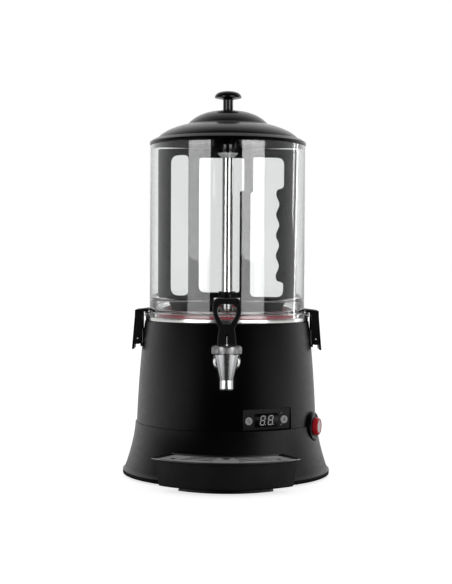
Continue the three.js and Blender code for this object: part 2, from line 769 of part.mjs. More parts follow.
// Cap that sits over the top bar and the end of the drive shaft
function makeAgitatorCap() {
  const foot = columnTopHeight + runningGap;
  const coneTop = foot + capConeHeight;
  const profile = [
    [0, foot], [capConeFootRadius, foot], [capConeRadius, coneTop],
    [capNeckRadius, coneTop], [capNeckRadius, capTopHeight], [0, capTopHeight],
  ];
  const halfSlot = frameThickness / 2 + seatGap;
  const slot = block(
    [-capConeRadius - overrun, -halfSlot, foot - overrun],
    [capConeRadius + overrun, halfSlot, frameTopHeight + seatGap],
  );
  const socket = rod(driveShaftRadius + seatGap, foot - overrun, frameSlotFoot() + seatGap, smallSides);
  addPiece('agitator_cap', cut(turn(profile, mediumSides), slot, socket), gloss);
}

function makeLid() {
  const crown = bend(
    [lidCreaseRadius, lidCreaseHeight], [lidCreaseRadius * lidCrownControlRadiusShare, lidTopHeight],
    [knobScrewRadius + seatGap, lidTopHeight],
  );
  const domeControl = [
    lidCreaseRadius + (lidDomeRadius - lidCreaseRadius) * lidDomeControlRadiusShare,
    lidDomeFootHeight + (lidCreaseHeight - lidDomeFootHeight) * lidDomeControlHeightShare,
  ];
  const dome = bend([lidDomeRadius, lidDomeFootHeight], domeControl, [lidCreaseRadius, lidCreaseHeight]);
  const plugOuter = bowlRadius - bowlWall - lidPlugClearance;
  const plugInner = plugOuter - lidWall;
  const drawnIn = ([radius, height]) => [Math.max(radius - lidWall, knobScrewRadius + seatGap), height - lidWall];
  const inside = [...dome, ...crown.slice(1)].map(drawnIn).reverse();
  const profile = [
    [lidBrimRadius, 0], [lidBrimRadius, lidBrimHeight], [lidShoulderRadius, lidShoulderHeight],
    ...dome, ...crown.slice(1), ...inside,
    [plugInner, -lidPlugDepth], [plugOuter, -lidPlugDepth], [plugOuter, 0], [lidBrimRadius, 0],
  ];
  addPiece('lid', turn(profile, largeSides), gloss).position.set(0, 0, lidBaseHeight);
}

function makeKnob() {
  const foot = lidTopHeight + seatGap;
  const capFoot = foot + knobStemHeight;
  const edge = capFoot + knobEdgeHeight;
  const top = capFoot + knobCapHeight;
  const bore = knobScrewRadius + seatGap;
  const socketTop = foot + knobScrewDepth + seatGap;
  const stem = [[bore, foot], [knobStemRadius, foot], [knobStemRadius, capFoot], [knobCapRadius, edge]];
  const crown = bend([knobCapRadius, edge], [knobCapRadius, top], [0, top]).slice(1);
  const knob = turn([...stem, ...crown, [0, socketTop], [bore, socketTop], [bore, foot]], mediumSides);
  addPiece('lid_knob', knob, gloss).position.set(0, 0, lidBaseHeight);
  const headTop = lidTopHeight - lidWall - seatGap;
  const screw = turn([
    [0, headTop - knobScrewHeadHeight], [knobScrewHeadRadius, headTop - knobScrewHeadHeight],
    [knobScrewHeadRadius, headTop], [knobScrewRadius, headTop],
    [knobScrewRadius, foot + knobScrewDepth], [0, foot + knobScrewDepth],
  ], smallSides);
  addPiece('knob_screw', screw, steel).position.set(0, 0, lidBaseHeight);
}

const tap = new THREE.Group();
tap.position.set(0, -tapReach, 0);
machine.add(tap);

function makeTapBody() {
  const coneFoot = tapSpoutFoot + tapSpoutLength;
  const coneTop = coneFoot + tapConeHeight;
  const profile = [
    [tapOutletRadius, tapSpoutFoot], [tapSpoutRadius, tapSpoutFoot], [tapSpoutRadius, coneFoot],
    [tapConeFootRadius, coneFoot], [tapConeTopRadius, coneTop], [tapNeckRadius, coneTop],
    [tapNeckRadius, tapNeckTop], [tapBoreRadius, tapNeckTop], [tapBoreRadius, tapSeatHeight],
    [tapOutletRadius, tapSeatHeight], [tapOutletRadius, tapSpoutFoot],
  ];
  const back = tapReach - shankEndReach;
  const shank = layForward(rod(shankRadius, -back, -tapBoreRadius, mediumSides), shankHeight);
  const bore = layForward(rod(shankBoreRadius, -back - overrun, 0, smallSides), shankHeight);
  const chamber = rod(tapBoreRadius, tapSeatHeight, tapNeckTop + overrun, mediumSides);
  const body = cut(join(turn(profile, mediumSides), cut(shank, chamber)), bore);
  addPiece('tap_body', body, castChrome, tap);
}

// A round or six-sided collar on the shank, from its front face towards the machine axis
function shankCollar(radius, sides, frontReach, thickness) {
  const collar = rod(radius, frontReach - thickness, frontReach, sides);
  const bore = rod(shankRadius + seatGap, frontReach - thickness - overrun, frontReach + overrun, mediumSides);
  return layForward(cut(collar, bore), shankHeight);
}

function makeTapFixings() {
  const flange = shankCollar(tapFlangeRadius, mediumSides, tapFlangeReach, tapFlangeThickness);
  addPiece('tap_flange', flange, steel);
  const shellNut = shankCollar(shankNutRadius, hexSides, shellNutReach, shankNutThickness);
  addPiece('shell_nut', shellNut, steel);
  const panNutReach = panRadius + seatGap + shankNutThickness;
  addPiece('pan_nut', shankCollar(shankNutRadius, hexSides, panNutReach, shankNutThickness), steel);
}

// Cap nut with shallow hollows round its rim
function makeTapBonnet() {
  const innerTop = bonnetTopHeight - bonnetTopThickness;
  const bore = tapNeckRadius + seatGap;
  const stemBore = valveStemRadius + seatGap;
  const profile = [
    [bore, bonnetFootHeight], [bonnetRadius, bonnetFootHeight], [bonnetRadius, bonnetTopHeight],
    [stemBore, bonnetTopHeight], [stemBore, innerTop], [bore, innerTop], [bore, bonnetFootHeight],
  ];
  const hollows = Array.from({ length: bonnetLobeCount }, (_, i) => {
    const angle = ((i + 0.5) * 2 * Math.PI) / bonnetLobeCount;
    const reach = bonnetRadius + bonnetLobeRadius - bonnetLobeDepth;
    const hollow = rod(bonnetLobeRadius, bonnetFootHeight - overrun, bonnetTopHeight + overrun, smallSides);
    return hollow.translate(Math.cos(angle) * reach, Math.sin(angle) * reach, 0);
  });
  addPiece('tap_bonnet', cut(turn(profile, mediumSides * 2), ...hollows), steel, tap);
}

function makeValve() {
  const plugFoot = tapSeatHeight + seatGap;
  const plugTop = plugFoot + valvePlugHeight;
  const plugFloor = plugFoot + valvePlugHeight / 3;
  const plug = rod(tapBoreRadius - runningGap, plugFoot, plugTop, mediumSides);
  const socket = rod(valveStemRadius + seatGap, plugFloor, plugTop + overrun, smallSides);
  addPiece('valve_plug', cut(plug, socket), rubber, tap);
  const flatFoot = valveStemTop - valveStemFlatHeight;
  const stem = rod(valveStemRadius, plugFloor + seatGap, valveStemTop, smallSides);
  const flats = [-1, 1].map((side) => block(
    [side > 0 ? valveStemFlat / 2 : -valveStemRadius - overrun, -valveStemRadius - overrun, flatFoot],
    [side > 0 ? valveStemRadius + overrun : -valveStemFlat / 2, valveStemRadius + overrun,
      valveStemTop + overrun],
  ));
  addPiece('valve_stem', cut(stem, ...flats, leverPinHole()), steel, tap);
  const springOuter = valveSpringRadius;
  const springTop = bonnetTopHeight - bonnetTopThickness - seatGap;
  const spring = ring(springOuter - valveSpringWall, springOuter, plugTop + seatGap, springTop, smallSides);
  addPiece('valve_spring', spring, steel, tap);
}

// A bar across the tap from side to side at the height of the lever pin
function crossBar(radius, length) {
  const bar = rod(radius, -length / 2, length / 2, smallSides);
  return bar.rotateY(Math.PI / 2).translate(0, 0, leverPinHeight);
}

function leverPinHole() {
  return crossBar(leverPinRadius + seatGap, leverFootWidth + overrun * 2);
}

function makeLever() {
  const neck = leverFootHeight + leverNeckHeight;
  const top = leverFootHeight + leverHeight;
  const centre = top - leverLoopCentreDrop;
  const holeTop = top - leverRingWidth - overrun;
  const holeFoot = holeTop - leverHoleHeight;
  const [foot, waist, loop] = [leverFootWidth / 2, leverNeckWidth / 2, leverLoopWidth / 2];
  const shoulder = loop - leverRingWidth;
  const outline = new THREE.Shape();
  outline.moveTo(-foot, leverFootHeight);
  outline.lineTo(foot, leverFootHeight);
  outline.quadraticCurveTo(foot, neck - leverRingWidth, waist, neck);
  outline.quadraticCurveTo(loop, centre - leverRingWidth, loop, centre);
  outline.quadraticCurveTo(loop, top, shoulder, top);
  outline.lineTo(-shoulder, top);
  outline.quadraticCurveTo(-loop, top, -loop, centre);
  outline.quadraticCurveTo(-loop, centre - leverRingWidth, -waist, neck);
  outline.quadraticCurveTo(-foot, neck - leverRingWidth, -foot, leverFootHeight);
  const holeFootHalf = leverHoleFootWidth / 2;
  const hole = new THREE.Path();
  hole.moveTo(-holeFootHalf, holeFoot);
  hole.lineTo(holeFootHalf, holeFoot);
  hole.quadraticCurveTo(shoulder, centre - leverRingWidth, shoulder, centre);
  hole.quadraticCurveTo(shoulder, holeTop, holeFootHalf, holeTop);
  hole.lineTo(-holeFootHalf, holeTop);
  hole.quadraticCurveTo(-shoulder, holeTop, -shoulder, centre);
  hole.quadraticCurveTo(-shoulder, centre - leverRingWidth, -holeFootHalf, holeFoot);
  outline.holes.push(hole);
  const settings = { depth: leverFootDepth, bevelEnabled: false, curveSegments: curveSteps };
  const blank = new THREE.ExtrudeGeometry(outline, settings);
  blank.rotateX(Math.PI / 2).translate(0, leverFootDepth / 2, 0);
  const [halfSlot, halfDepth] = [leverSlotWidth / 2, leverFootDepth / 2 + overrun];
  const slot = block(
    [-halfSlot, -halfDepth, leverFootHeight - overrun],
    [halfSlot, halfDepth, leverFootHeight + leverSlotHeight],
  );
  addPiece('tap_lever', cut(blank, slot, leverPinHole()), gloss, tap);
  addPiece('lever_pin', crossBar(leverPinRadius, leverPinLength), steel, tap);
}

const panel = new THREE.Group();
panel.rotation.z = panelAzimuth * degree;
machine.add(panel);

// A round bar that faces the front at a place on the panel
function panelBar(radius, back, face, offset, height, sides) {
  return layForward(rod(radius, back, face, sides), height).translate(offset, 0, 0);
}

function makePanel() {
  const back = panelFaceReach - panelThickness;
  const foot = shellFootHeight;
  const middle = foot + keyCentreRise;
  const boardFace = back - boardStandoff;
  const [halfWidth, halfDisplay] = [panelWidth / 2, displayWidth / 2];
  const plate = block([-halfWidth, -panelFaceReach, foot], [halfWidth, -back, foot + panelHeight]);
  const displayFoot = middle - displayHeight / 2;
  const displayTop = middle + displayHeight / 2;
  const window = block(
    [-halfDisplay - seatGap, -panelFaceReach - overrun, displayFoot - seatGap],
    [halfDisplay + seatGap, -back + overrun, displayTop + seatGap],
  );
  const keyPlaces = { key_left: -keyOffset, key_right: keyOffset };
  const keyHoles = Object.values(keyPlaces).map((offset) => (
    panelBar(keyRadius + seatGap, back - overrun, panelFaceReach + overrun, offset, middle, mediumSides)
  ));
  const postHeights = [foot + standoffRadius, foot + panelHeight - standoffRadius];
  const posts = postHeights.flatMap((height) => [-standoffOffset, standoffOffset].map((offset) => (
    panelBar(standoffRadius, boardFace + seatGap, back + standoffRadius / 2, offset, height, smallSides)
  )));
  addPiece('control_panel', join(cut(plate, window, ...keyHoles), ...posts), gloss, panel);
  const display = block(
    [-halfDisplay, -panelFaceReach - displayProud, displayFoot], [halfDisplay, -back, displayTop],
  );
  addPiece('display_window', display, gloss, panel);
  const shoulderFace = back - keyBackGap;
  Object.entries(keyPlaces).forEach(([name, offset]) => {
    const face = panelFaceReach + keyProud;
    const shoulderBack = shoulderFace - keyShoulderThickness;
    const cap = panelBar(keyRadius, shoulderBack, face, offset, middle, mediumSides);
    const shoulder = panelBar(keyShoulderRadius, shoulderBack, shoulderFace, offset, middle, mediumSides);
    addPiece(name, join(cap, shoulder), paleKey, panel);
  });
  const switchFace = shoulderFace - keyShoulderThickness - keyTravel - seatGap;
  const [halfBoard, boardFoot] = [boardWidth / 2, foot + (panelHeight - boardHeight) / 2];
  const board = block(
    [-halfBoard, -boardFace, boardFoot], [halfBoard, -boardFace + boardThickness, boardFoot + boardHeight],
  );
  const switches = Object.values(keyPlaces).map((offset) => (
    panelBar(boardSwitchRadius, boardFace - boardThickness / 2, switchFace, offset, middle, smallSides)
  ));
  addPiece('circuit_board', join(board, ...switches), greenBoard, panel);
}

const power = new THREE.Group();
power.rotation.z = powerAzimuth * degree;
machine.add(power);

function makePowerSwitch() {
  const floorFace = powerBezelFoot + powerBezelFloor;
  const plungerBore = powerPlungerRadius + seatGap;
  const capBore = powerCapRadius + seatGap;
  const bezel = turn([
    [plungerBore, powerBezelFoot], [powerBezelRadius, powerBezelFoot], [powerBezelRadius, powerBezelFace],
    [capBore, powerBezelFace], [capBore, floorFace], [plungerBore, floorFace],
    [plungerBore, powerBezelFoot],
  ], mediumSides);
  addPiece('power_bezel', layForward(bezel, powerHeight), gloss, power);
  const capBack = floorFace + powerTravel + runningGap;
  const cap = turn([
    [0, powerPlungerFoot], [powerPlungerRadius, powerPlungerFoot], [powerPlungerRadius, capBack],
    [powerCapRadius, capBack], [powerCapRadius, powerCapFace], [0, powerCapFace],
  ], mediumSides);
  addPiece('power_cap', layForward(cap, powerHeight), redLens, power);
  const bodyTop = powerBezelFoot - seatGap;
  const socketFoot = powerPlungerFoot - powerTravel - runningGap;
  const body = rod(powerBodyRadius, bodyTop - powerBodyLength, bodyTop, mediumSides);
  const socket = rod(plungerBore, socketFoot, bodyTop + overrun, smallSides);
  addPiece('power_body', layForward(cut(body, socket), powerHeight), whiteNylon, power);
}

function makeRear() {
  const nose = glandHexReach + glandHexLength;
  const gland = turn([
    [glandBoreRadius, glandShankFoot], [glandShankRadius, glandShankFoot],
    [glandShankRadius, glandHexReach], [glandHexRadius, glandHexReach], [glandHexRadius, nose],
    [glandNoseRadius, nose], [glandNoseRadius, glandReach], [glandBoreRadius, glandReach],
    [glandBoreRadius, glandShankFoot],
  ], smallSides);
  addPiece('cable_gland', faceAzimuth(layForward(gland, glandHeight), rearAzimuth), gloss);
  const nut = hexNut(
    glandHexRadius, glandShankRadius + seatGap, glandNutReach - glandNutLength, glandNutReach,
  );
  addPiece('gland_nut', faceAzimuth(layForward(nut, glandHeight), rearAzimuth), gloss);
  const foot = plateThickness + seatGap;
  const [halfLength, halfWidth] = [terminalLength / 2, terminalWidth / 2];
  const terminals = block(
    [-halfLength, -halfWidth, foot], [halfLength, halfWidth, foot + terminalHeight],
  );
  addPiece('terminal_block', terminals, whiteNylon).position.set(...terminalPlace, 0);
}

// Extrudes an outline of reach and height pairs across the middle of a latch, to a width
function acrossLatch(corners, fromSide, toSide) {
  const outline = new THREE.Shape(corners.map(([x, z]) => new THREE.Vector2(x, z)));
  const settings = { depth: toSide - fromSide, bevelEnabled: false };
  return new THREE.ExtrudeGeometry(outline, settings).rotateX(Math.PI / 2).translate(0, toSide, 0);
}

// A bar along the latch pin
function pinBar(radius, length) {
  const bar = rod(radius, -length / 2, length / 2, mediumSides);
  return bar.rotateX(Math.PI / 2).translate(latchPinReach, 0, latchPinHeight);
}

function makeLatch(side, group) {
  const half = latchWidth / 2;
  const top = bowlFlangeTop + latchLipGap + latchLipDepth;
  const tail = latchPinHeight - latchTailDrop;
  const lipFoot = top - latchLipDepth;
  const plate = acrossLatch([
    [latchPlateFootReach - latchPlateThickness, tail], [latchPlateFootReach, tail],
    [latchPlateTopReach, lipFoot], [latchPlateTopReach, top - latchLipSlope], [latchLipReach, top],
    [latchLipReach, lipFoot], [latchPlateTopReach - latchPlateThickness, lipFoot],
  ], -half, half);
  const cheekFoot = latchPinHeight - latchCheekDrop;
  const cheeks = [[-half, latchCheekThickness - half], [half - latchCheekThickness, half]].map(([from, to]) => (
    acrossLatch([
      [latchCheekFootReach, cheekFoot], [latchPlateFootReach - latchPlateThickness / 2, cheekFoot],
      [latchPlateTopReach - latchPlateThickness / 2, lipFoot + overrun],
      [latchCheekTopReach, lipFoot + overrun], [latchCheekTopReach, cheekFoot + latchCheekChamfer],
    ], from, to)
  ));
  const pinHole = pinBar(latchPinRadius + seatGap, latchWidth + overrun * 2);
  addPiece(`latch_${side}`, cut(join(plate, ...cheeks), pinHole), satinBlack, group);
  const baseFace = bracketReach() + bracketBaseThickness;
  const bracketTop = bracketFootHeight + bracketHeight;
  const halfBracket = bracketWidth / 2;
  const base = block([bracketReach(), -halfBracket, bracketFootHeight], [baseFace, halfBracket, bracketTop]);
  const ears = [-halfBracket, halfBracket - bracketEarThickness].map((from) => block(
    [bracketReach(), from, latchPinHeight - latchPinRadius * 2],
    [bracketEarReach, from + bracketEarThickness, latchPinHeight + latchPinRadius * 2],
  ));
  addPiece(`latch_bracket_${side}`, cut(join(base, ...ears), pinHole), steel, group);
  addPiece(`latch_pin_${side}`, pinBar(latchPinRadius, latchWidth + overrun / 2), steel, group);
  const springTube = cut(
    pinBar(latchSpringRadius, latchSpringLength),
    pinBar(latchPinRadius + seatGap, latchSpringLength + overrun * 2),
  );
  addPiece(`latch_spring_${side}`, springTube, steel, group);
}

// Radius of the shell's outside at a height
function shellRadius(height) {
  const outside = shellCurve(0);
  const above = Math.max(outside.findIndex(([, level]) => level > height), 1);
  const [[lowRadius, lowHeight], [highRadius, highHeight]] = [outside[above - 1], outside[above]];
  return lowRadius + (highRadius - lowRadius) * (height - lowHeight) / (highHeight - lowHeight);
}

// Inner face of a latch bracket, which stands against the shell at the bracket's foot
function bracketReach() {
  return shellRadius(bracketFootHeight) + seatGap;
}

function makeLatches() {
  Object.entries({ right: 0, left: Math.PI }).forEach(([side, angle]) => {
    const group = new THREE.Group();
    group.rotation.z = angle;
    machine.add(group);
    makeLatch(side, group);
  });
}

// Tray outline drawn in by an inset, with its back edge round the skirt
function trayOutline(inset, backRadius) {
  const frontRadius = trayFrontRadius - inset;
  const frontHalf = Math.asin((trayCornerWidth - inset) / frontRadius);
  const rearHalf = Math.asin((trayRearWidth - inset) / backRadius);
  const steps = Array.from({ length: trayArcSteps + 1 }, (_, i) => (i / trayArcSteps) * 2 - 1);
  const front = steps.map((t) => [
    Math.sin(t * frontHalf) * frontRadius, -trayFrontCentre - Math.cos(t * frontHalf) * frontRadius,
  ]);
  const back = steps.map((t) => [-Math.sin(t * rearHalf) * backRadius, -Math.cos(t * rearHalf) * backRadius]);
  return [...front, ...back];
}

// A closed body through outlines of equal length, from the lowest level up
function stack(levels) {
  const count = levels[0].outline.length;
  const places = levels.flatMap(({ outline, height }) => outline.flatMap(([x, y]) => [x, y, height]));
  const cap = THREE.ShapeUtils.triangulateShape(
    levels[0].outline.map(([x, y]) => new THREE.Vector2(x, y)), [],
  );
  const last = (levels.length - 1) * count;
  const index = cap.flatMap(([a, b, c]) => [a, c, b, a + last, b + last, c + last]);
  for (let level = 0; level < levels.length - 1; level += 1) {
    for (let i = 0; i < count; i += 1) {
      const [low, lowNext] = [level * count + i, level * count + ((i + 1) % count)];
      index.push(low, lowNext, lowNext + count, low, lowNext + count, low + count);
    }
  }
  const geometry = new THREE.BufferGeometry();
  geometry.setAttribute('position', new THREE.Float32BufferAttribute(places, 3));
  geometry.setIndex(index);
  return geometry;
}

// One level of the tray's outside, or of a room inside it where a wall is given
function trayLevel(height, inset, wall = 0) {
  const back = skirtRadius(Math.max(height, 0)) + trayGap + wall;
  return { height, outline: trayOutline(inset + wall, back) };
}

function makeTray() {
  const rimFoot = trayTopHeight - trayRimThickness;
  const bend = trayFloorHeight + trayBendHeight;
  const bodyInset = trayRimOverhang + trayDraft;
  const outside = stack([
    trayLevel(trayFloorHeight, trayFloorInset), trayLevel(bend, bodyInset),
    trayLevel(rimFoot, trayRimOverhang), trayLevel(rimFoot + seatGap, 0), trayLevel(trayTopHeight, 0),
  ]);
  const plinth = stack([
    trayLevel(-footHeight, trayPlinthInset), trayLevel(trayFloorHeight + trayWall / 2, trayPlinthInset),
  ]);
  const floor = trayFloorHeight + trayWall;
  const ledge = grilleFootHeight - seatGap;
  const ledgeInset = trayRimOverhang + trayLedgeWidth;
  const room = stack([
    trayLevel(floor, trayFloorInset, trayWall), trayLevel(bend + trayWall, bodyInset, trayWall),
    trayLevel(ledge + overrun / 2, ledgeInset, trayWall),
  ]);
  const mouth = stack([
    trayLevel(ledge, trayRimOverhang / 2, trayWall),
    trayLevel(trayTopHeight + overrun, trayRimOverhang / 2, trayWall),
  ]);
  addPiece('drip_tray', cut(join(outside, plinth), room, mouth), satinBlack);
}

// A slot along an arc about the middle of the grille, on one side of it
function arcSlot(radius, side) {
  const half = grilleSlotHalfAngle * degree;
  const middle = side > 0 ? 0 : Math.PI;
  const [inner, outer] = [radius - grilleSlotWidth / 2, radius + grilleSlotWidth / 2];
  const slot = new THREE.Shape();
  slot.absarc(0, 0, outer, middle - half, middle + half, false);
  slot.absarc(0, 0, inner, middle + half, middle - half, true);
  slot.closePath();
  const settings = { depth: grilleThickness + overrun * 2, bevelEnabled: false, curveSegments: curveSteps };
  const slotFoot = grilleFootHeight - overrun;
  return new THREE.ExtrudeGeometry(slot, settings).translate(0, -grilleCentreReach, slotFoot);
}

function makeGrille() {
  const outline = trayLevel(grilleFootHeight - seatGap, trayRimOverhang / 2, trayWall + seatGap).outline;
  const plate = stack([
    { height: grilleFootHeight, outline }, { height: grilleFootHeight + grilleThickness, outline },
  ]);
  const [foot, top] = [grilleFootHeight - overrun, grilleFootHeight + grilleThickness + overrun];
  const centreHole = rod(grilleHoleRadius, foot, top, mediumSides).translate(0, -grilleCentreReach, 0);
  const slots = [-1, 1].flatMap((side) => Array.from({ length: grilleSlotCount }, (_, i) => (
    arcSlot(grilleHoleRadius + grilleSlotPitch * (i + 1), side)
  )));
  const drains = [-1, 1].map((side) => (
    rod(grilleDrainRadius, foot, top, smallSides).translate(side * grilleDrainReach, -grilleCentreReach, 0)
  ));
  addPiece('drip_grille', cut(plate, centreHole, ...slots, ...drains), satinBlack);
}

makeLowerSkirt(makeBottomPlate());
makeUpperShell();
makeProductPan();
makeBowl();
makeColumn();
makeHeater();
makeDrive();
makeStirringFrame();
makeAgitatorCap();
makeLid();
makeKnob();
makeTapBody();
makeTapFixings();
makeTapBonnet();
makeValve();
makeLever();
makePanel();
makePowerSwitch();
makeRear();
makeLatches();
makeTray();
makeGrille();

const model = new THREE.Group();
model.add(machine);

export default model;
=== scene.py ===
import bpy
import math
from mathutils import Matrix, Vector


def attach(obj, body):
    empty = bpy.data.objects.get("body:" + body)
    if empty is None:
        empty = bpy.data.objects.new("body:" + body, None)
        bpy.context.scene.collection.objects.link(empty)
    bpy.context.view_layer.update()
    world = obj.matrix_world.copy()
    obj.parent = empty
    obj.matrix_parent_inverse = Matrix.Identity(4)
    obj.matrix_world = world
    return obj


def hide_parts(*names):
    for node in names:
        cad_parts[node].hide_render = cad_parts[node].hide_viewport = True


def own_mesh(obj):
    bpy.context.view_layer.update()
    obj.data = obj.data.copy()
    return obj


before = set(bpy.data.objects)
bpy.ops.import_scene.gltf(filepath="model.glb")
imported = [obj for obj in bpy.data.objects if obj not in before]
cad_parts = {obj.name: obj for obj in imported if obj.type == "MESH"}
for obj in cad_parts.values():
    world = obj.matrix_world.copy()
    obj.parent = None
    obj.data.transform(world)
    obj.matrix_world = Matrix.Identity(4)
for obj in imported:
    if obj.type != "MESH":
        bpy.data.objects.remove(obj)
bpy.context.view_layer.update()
print("frame loaded,", len(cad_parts), "parts")

# sizes below are in mm: across and deep from the machine's axis, heights from the skirt's underside
machine = {"shift": 28.3, "lift": 3.0, "turnSteps": 128, "weld": 0.002, "through": 60}


def spot(x, y, z):
    # a place on the machine, in metres
    return Vector((x, y + machine["shift"], z + machine["lift"])) / 1000


def deselectAll():
    if bpy.context.object and bpy.context.object.mode != "OBJECT":
        bpy.ops.object.mode_set(mode="OBJECT")
    bpy.ops.object.select_all(action="DESELECT")


def makeActive(piece):
    deselectAll()
    piece.select_set(True)
    bpy.context.view_layer.objects.active = piece


def startPoint(name):
    # one loose point at the origin, to be pulled out into an outline
    deselectAll()
    bpy.ops.mesh.primitive_plane_add(size=0.002, location=(0, 0, 0))
    piece = bpy.context.object
    piece.name = name
    piece.data.name = name
    bpy.ops.object.mode_set(mode="EDIT")
    bpy.ops.mesh.select_all(action="SELECT")
    bpy.ops.mesh.merge(type="CENTER")
    return piece


def pullOutline(places):
    # the loose point walks from place to place and leaves an edge behind
    bpy.ops.transform.translate(value=places[0])
    for here, there in zip(places, places[1:]):
        bpy.ops.mesh.extrude_region_move(TRANSFORM_OT_translate={"value": there - here})
    bpy.ops.mesh.select_all(action="SELECT")
    bpy.ops.mesh.remove_doubles(threshold=machine["weld"] / 2000)


def tidyShell():
    # in edit mode: welds the seam and turns every face outwards
    bpy.ops.mesh.select_all(action="SELECT")
    bpy.ops.mesh.remove_doubles(threshold=machine["weld"] / 1000)
    bpy.ops.mesh.normals_make_consistent(inside=False)
    bpy.ops.object.mode_set(mode="OBJECT")


def softened(corners, steps=5):
    # corners are (across, up) or (across, up, radius); each radius becomes a small arc
    made = []
    count = len(corners)
    for i, corner in enumerate(corners):
        here = Vector(corner[:2])
        radius = corner[2] if len(corner) > 2 else 0
        if not radius:
            made.append(here)
            continue
        before = Vector(corners[i - 1][:2]) - here
        after = Vector(corners[(i + 1) % count][:2]) - here
        half = before.angle(after) / 2
        reach = min(radius / math.tan(half), before.length * 0.49, after.length * 0.49)
        start, end = here + before.normalized() * reach, here + after.normalized() * reach
        for k in range(steps + 1):
            t = k / steps
            made.append(start * (1 - t) ** 2 + here * 2 * t * (1 - t) + end * t ** 2)
    return made


def bend(start, control, end, steps=16):
    # a curve between two points, drawn towards a third
    made = []
    for k in range(steps + 1):
        t = k / steps
        near, middle, far = (1 - t) ** 2, 2 * t * (1 - t), t * t
        made.append(tuple(start[i] * near + control[i] * middle + end[i] * far for i in (0, 1)))
    return made


def turned(name, corners, at=(0, 0), steps=None):
    # a closed profile of (radius, height) spun about an upright axis
    profile = softened(corners)
    piece = startPoint(name)
    pullOutline([spot(at[0] + r, at[1], z) for r, z in [*profile, profile[0]]])
    bpy.ops.mesh.spin(steps=steps or machine["turnSteps"], angle=2 * math.pi,
                      center=spot(at[0], at[1], 0), axis=(0, 0, 1))
    tidyShell()
    return piece


def place(piece, matrix):
    # puts the turn and the move into the mesh, so the object stays at the origin
    piece.data.transform(matrix)
    piece.data.update()
    return piece


def newCurve(name, dimensions):
    deselectAll()
    bpy.ops.curve.primitive_bezier_circle_add(radius=0.01, location=(0, 0, 0))
    piece = bpy.context.object
    piece.name = name
    piece.data.name = name
    piece.data.dimensions = dimensions
    piece.data.splines.clear()
    return piece, piece.data


def flatPlate(name, outlines, thick, edge=0.4):
    # outline curves in the XY plane, filled, given a thickness and rounded edges, then made a mesh
    piece, curve = newCurve(name, "2D")
    curve.fill_mode = "BOTH"
    for outline in outlines:
        line = curve.splines.new("POLY")
        line.points.add(len(outline) - 1)
        for point, (x, y) in zip(line.points, outline):
            point.co = (x / 1000, y / 1000, 0, 1)
        line.use_cyclic_u = True
    curve.extrude = (thick / 2 - edge) / 1000
    curve.bevel_depth = edge / 1000
    curve.bevel_resolution = 2
    curve.offset = -edge / 1000
    bpy.ops.object.convert(target="MESH")
    bpy.ops.object.mode_set(mode="EDIT")
    tidyShell()
    return piece


def useModifier(piece, kind, **settings):
    # adds a modifier and applies it at once
    makeActive(piece)
    modifier = piece.modifiers.new(kind.title(), kind)
    for key, value in settings.items():
        setattr(modifier, key, value)
    bpy.ops.object.modifier_apply(modifier=modifier.name)


def cutAway(piece, *cutters, operation="DIFFERENCE"):
    for cutter in cutters:
        useModifier(piece, "BOOLEAN", object=cutter, operation=operation, solver="EXACT")
        bpy.data.objects.remove(cutter)


def roundEdges(piece, width, angle=35, segments=3):
    # rounds the edges that are sharper than the angle
    useModifier(piece, "BEVEL", width=width / 1000, segments=segments, limit_method="ANGLE",
                angle_limit=math.radians(angle), harden_normals=False)


def joined(piece, *others):
    # one piece out of several that touch or stand apart
    deselectAll()
    for other in others:
        other.select_set(True)
    piece.select_set(True)
    bpy.context.view_layer.objects.active = piece
    bpy.ops.object.join()
    return piece


def finishPiece(piece, body, material, slot, *nodes, smooth=30):
    # shading, finish, and the body and parts that the piece stands for; the slot is not used
    makeActive(piece)
    bpy.ops.object.shade_smooth_by_angle(angle=math.radians(smooth))
    piece.data.materials.clear()
    piece.data.materials.append(material)
    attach(piece, body)
    if nodes:
        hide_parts(*nodes)
    return piece


def facing(azimuth, reach, height):
    # turns a piece that lies flat, up is out, so that it faces out at an azimuth from the front
    turn = math.radians(azimuth)
    out = Vector((math.sin(turn), -math.cos(turn), 0))
    side = Vector((math.cos(turn), math.sin(turn), 0))
    up = Vector((0, 0, 1))
    middle = spot(out.x * reach, out.y * reach, height)
    return Matrix(((side.x, up.x, out.x, middle.x), (side.y, up.y, out.y, middle.y),
                   (side.z, up.z, out.z, middle.z), (0, 0, 0, 1)))


def toLinear(hexCode):
    # a colour as a paint card gives it, turned to the linear values that a shader takes
    channels = [int(hexCode[i:i + 2], 16) / 255 for i in (0, 2, 4)]
    return (*[c / 12.92 if c <= 0.04045 else ((c + 0.055) / 1.055) ** 2.4 for c in channels], 1)


def addNode(tree, kind, settings=None, links=None):
    # settings name an input or a property, links an input with the node and the output that feed it
    node = tree.nodes.new(kind)
    for key, value in (settings or {}).items():
        if key == "stops":
            for stop, (position, hexCode) in zip(node.color_ramp.elements, value):
                stop.position, stop.color = position, toLinear(hexCode)
        elif isinstance(key, int) or key in node.inputs:
            node.inputs[key].default_value = value
        else:
            setattr(node, key, value)
    for key, (source, output) in (links or {}).items():
        tree.links.new(source.outputs[output], node.inputs[key])
    return node


def newFinish(name):
    # an empty finish, and the places on the part that its patterns read
    material = bpy.data.materials.new(name)
    material.use_nodes = True
    tree = material.node_tree
    tree.nodes.clear()
    return material, tree, addNode(tree, "ShaderNodeTexCoord")


# patches and marks are in mm, and a noise keeps most of its values between the limits of marksSpan
surfaces = {
    "plasticIor": 1.53, "sheenRoughness": 0.35, "patches": 45, "marks": 6, "colourSpan": (0.3, 0.7),
    "marksSpan": (0.35, 0.65), "harder": 0.03, "softer": 0.05, "roughness": 0.55, "steelRelief": 0.6,
}


